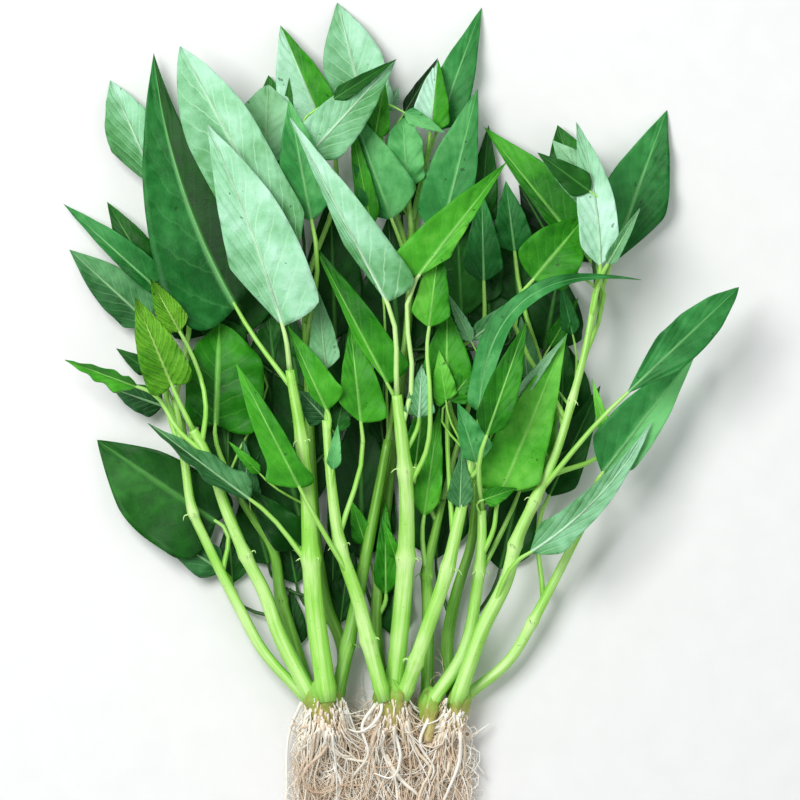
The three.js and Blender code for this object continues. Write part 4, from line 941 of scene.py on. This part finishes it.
bm = bmesh.new()
materials = []
for number, (stem, base, tip, width, tones) in enumerate(shadedLeaves):
    tone = tuple(each + shadeLightened for each in tones)
    growLeaf(bm, materials, leafOn(stem, base, tip, width, "dark", tone, **shadedForm), 0, 200 + number)
finishPiece("leavesInShade", bm, materials)
print("small leaves ready:", len(smallLeaves), "and", len(shadedLeaves), "in the shade")


# Crowns: the thick joint where a stem's bundle meets its roots
crowns = {
    "crown_left": dict(low=(-37, -169), high=(-39.5, -139), height=17, halfWidth=11.5, halfHeight=14,
                       knobs=5),
    "crown_centre": dict(low=(-4, -169), high=(-5, -138.5), height=15, halfWidth=10.5, halfHeight=12.5,
                         knobs=5),
    "crown_inner_right": dict(low=(14, -172), high=(15, -143), height=12, halfWidth=6.8, halfHeight=8,
                              knobs=3),
    "crown_right": dict(low=(27, -170), high=(31, -140.5), height=13, halfWidth=7.2, halfHeight=11,
                        knobs=4),
}
# A crown's girth, in shares of its half width: at its lower end, how it widens, and its knobs and lumps
crownForm = dict(columns=36, rows=24, lower=0.46, widening=0.12, belly=0.34, bellyAt=0.68, bellyReach=0.26,
                 rounding=0.35, knob=0.13, ridges=13, ridge=0.04, twist=9, lump=0.2, lumpGrain=(1.6, 5),
                 phaseStep=1.7, tones=(0.1, 0.95))


def buildCrown(name, seed):
    look, form = crowns[name], crownForm
    low, high = (Vector((*look[end], look["height"])) for end in ("low", "high"))
    phase = seed * form["phaseStep"]

    def place(across, along):
        angle = -across * fullTurn
        # narrow where the roots begin, thickest below the stems and drawn in between them
        girth = form["lower"] + form["widening"] * along
        girth += form["belly"] * math.exp(-((along - form["bellyAt"]) / form["bellyReach"]) ** 2)
        girth *= math.sin(math.pi * min(max(along, 0.0), 1.0)) ** form["rounding"]
        ridge = form["ridge"] * math.cos(angle * form["ridges"] + along * form["twist"])
        girth *= 1 + form["knob"] * math.cos(angle * look["knobs"] + phase) + ridge
        wide, long = form["lumpGrain"]
        spot = Vector((math.cos(angle) * wide, math.sin(angle) * wide, along * long + seed))
        girth *= 1 + form["lump"] * noise.noise(spot)
        return blend(low, high, along) + Vector((look["halfWidth"] * girth * math.cos(angle), 0,
                                                 look["halfHeight"] * girth * math.sin(angle)))

    bm = bmesh.new()
    made = addSheet(bm, form["columns"], form["rows"], place, 0,
                    lambda across, along: blend(*form["tones"], along))
    bmesh.ops.remove_doubles(bm, verts=made, dist=1e-3)
    finishPiece(camel(name), bm, [crownSkin], name)


crownSkin = crownMaterial()
for number, name in enumerate(crowns):
    buildCrown(name, number)
print("crowns ready")


# Root tufts: the crown that each one springs from, the side limits and the end of its spread, how many fine
# and thick roots it has, and single pale strands that stray out of it
tufts = {
    "roots_left": dict(crown="crown_left", sides=(-46, -21), far=-226, fine=420, thick=30, strands=[
        [(-49, -151, 12), (-55, -165, 6), (-57, -198, 3), (-58, -214, 2)],
        [(-46, -156, 18), (-51, -172, 10), (-49, -190, 5), (-54, -204, 3)]]),
    "roots_centre": dict(crown="crown_centre", sides=(-24, 9), far=-227, fine=330, thick=22, strands=[
        [(-9, -148, 22), (-10, -157, 25), (-20, -166, 22), (-28, -164, 16)],
        [(-3, -165, 20), (0, -180, 18), (-4, -189, 16), (-13, -187, 14)],
        [(-12, -152, 20), (-19, -163, 21), (-16, -177, 18), (-24, -189, 12)]]),
    "roots_right": dict(crown="crown_right", sides=(6, 29), far=-221, fine=330, thick=18, strands=[
        [(31, -160, 12), (34, -175, 8), (43, -189, 4)], [(26, -171, 12), (36, -168, 9), (45.5, -162, 5)],
        [(15, -158, 16), (10, -172, 15), (17, -186, 12), (9, -197, 8)]]),
}
# How a root grows, in millimetres and shares: where it starts, how far it steps, how it fans out, curls and
# turns back, and how it sinks to the height where it ends
rootForm = dict(points=16, onWidth=0.86, onHeight=0.8, startY=(-168, -149), tangled=0.45,
                tangleY=(-182, -154, -166), tangleZ=(2, 14), past=0.3, stride=(1.6, 5.2),
                curls=(0.08, 0.14, 0.22, 0.36), curlKept=0.8, spreadFrom=-150, spread=0.1, headingKept=0.9,
                turnBack=0.3, fanned=0.3, endZ=(0.8, 9.0), lowest=0.7, sinking=0.16, unrest=0.8)
# Radii, sides and tones of the fine and the thick roots and of the strands. tip is what is left of a root's
# radius at its end, and crownLight how much lighter a root is where it starts.
fineRoot = dict(radii=(0.24, 0.55), sides=4)
thickRoot = dict(radii=(0.7, 1.3), sides=6)
rootShades = dict(tones=(0.3, 1.0), crownLight=0.15, tip=0.25)
strandForm = dict(steps=6, sides=8, radii=(0.95, 0.35), tone=0.95)


def rootLine(bits, look):
    # one root: it leaves the crown all round, sinks to the surface and wanders towards -y
    form = rootForm
    crown = crowns[look["crown"]]
    left, right = look["sides"]
    angle = bits.uniform(-form["past"], math.pi + form["past"])
    share = bits.uniform(0, 1)
    point = Vector((crown["low"][0] + crown["halfWidth"] * form["onWidth"] * math.cos(angle),
                    bits.uniform(*form["startY"]),
                    crown["height"] + crown["halfHeight"] * form["onHeight"] * math.sin(angle)))
    if share < form["tangled"]:
        # many start beside the crown, out of the tangle
        point = Vector((bits.triangular(left, right), bits.triangular(*form["tangleY"]),
                        bits.uniform(*form["tangleZ"])))
    stride = bits.uniform(*form["stride"])
    heading = math.cos(angle) * form["fanned"]
    curl = bits.choice(form["curls"])
    endZ = bits.uniform(*form["endZ"])
    turn = 0.0
    line = [point.copy()]
    for _ in range(form["points"] - 1):
        turn = turn * form["curlKept"] + bits.gauss(0, curl)
        # past its side of the tuft, which widens downwards, it bends back in
        slack = (form["spreadFrom"] - point.y) * form["spread"]
        over = max(0, left - slack - point.x) - max(0, point.x - right - slack)
        heading = heading * form["headingKept"] + turn + over * form["turnBack"]
        point += Vector((math.sin(heading), -math.cos(heading), 0)) * stride
        point.y = max(point.y, look["far"])
        sunk = point.z + (endZ - point.z) * form["sinking"] + bits.gauss(0, form["unrest"])
        point.z = max(form["lowest"], sunk)
        line.append(point.copy())
    return line


def tapered(radius, tip, count):
    return [blend(radius, tip, i / (count - 1)) for i in range(count)]


def buildTuft(name, seed):
    look = tufts[name]
    bits = random.Random(seed)
    bm = bmesh.new()
    for form in [fineRoot] * look["fine"] + [thickRoot] * look["thick"]:
        line = rootLine(bits, look)
        girth = bits.uniform(*form["radii"])
        radii = tapered(girth, girth * rootShades["tip"], len(line))
        tone = bits.uniform(*rootShades["tones"])
        addTube(bm, line, radii, form["sides"], 0,
                lambda across, along: tone + rootShades["crownLight"] * (1 - along))
    for strand in look["strands"]:
        line = smoothPath(strand, strandForm["steps"])
        radii = tapered(*strandForm["radii"], len(line))
        addTube(bm, line, radii, strandForm["sides"], 0, lambda across, along: strandForm["tone"])
    finishPiece(camel(name), bm, [rootSkin], name)


rootSkin = rootMaterial()
for number, name in enumerate(tufts):
    buildTuft(name, 40 + number)
print("roots ready")


# Surroundings: a pale floor, a large soft lamp from the upper left, a weaker one and a pale sky, in metres
studio = dict(floor=3.0, floorLevel=-0.0005, paper=[(0.86, 0.86, 0.85, 1.0), (0.92, 0.92, 0.91, 1.0)],
              aim=(0.0, 0.0, 0.03), skyColour=(0.95, 0.98, 1.0, 1.0), sky=0.4, cameraHeight=8.0, span=0.4)
lamps = {
    "keyLamp": dict(place=(-0.7, 0.6, 1.5), size=0.9, power=26.0),
    "fillLamp": dict(place=(1.0, -0.5, 1.2), size=1.4, power=3.5),
}

bm = bmesh.new()
bmesh.ops.create_grid(bm, x_segments=4, y_segments=4, size=studio["floor"])
bmesh.ops.transform(bm, matrix=Matrix.Translation((0, 0, studio["floorLevel"])), verts=bm.verts)
floorMesh = bpy.data.meshes.new("floor")
bm.to_mesh(floorMesh)
bm.free()
floor = bpy.data.objects.new("floor", floorMesh)
bpy.context.collection.objects.link(floor)
floorSkin, floorTree, floorShader = newMaterial("floorPaper", roughness=0.9, specular=0.2)
floorColour = mixColours(floorTree, grain(floorTree, coordsOf(floorTree), 60.0, 3.0), *studio["paper"])
floorTree.links.new(floorColour, floorShader.inputs["Base Color"])
floorMesh.materials.append(floorSkin)

for name, look in lamps.items():
    lamp = bpy.data.lights.new(name, "AREA")
    lamp.shape = "SQUARE"
    lamp.size = look["size"]
    lamp.energy = look["power"]
    holder = bpy.data.objects.new(name, lamp)
    holder.location = look["place"]
    beam = Vector(studio["aim"]) - Vector(look["place"])
    holder.rotation_euler = beam.to_track_quat("-Z", "Y").to_euler()
    bpy.context.collection.objects.link(holder)
world = bpy.data.worlds.new("sky")
world.use_nodes = True
background = world.node_tree.nodes["Background"]
background.inputs[0].default_value = studio["skyColour"]
background.inputs[1].default_value = studio["sky"]
bpy.context.scene.world = world
bpy.context.scene.view_settings.view_transform = "Standard"

cameraData = bpy.data.cameras.new("camera")
cameraData.lens = cameraData.sensor_width * studio["cameraHeight"] / studio["span"]
cameraData.clip_end = 30
camera = bpy.data.objects.new("camera", cameraData)
camera.location = (tableOrigin.x, tableOrigin.y, studio["cameraHeight"] + studio["aim"][2])
bpy.context.collection.objects.link(camera)
bpy.context.scene.camera = camera

print("scene ready")
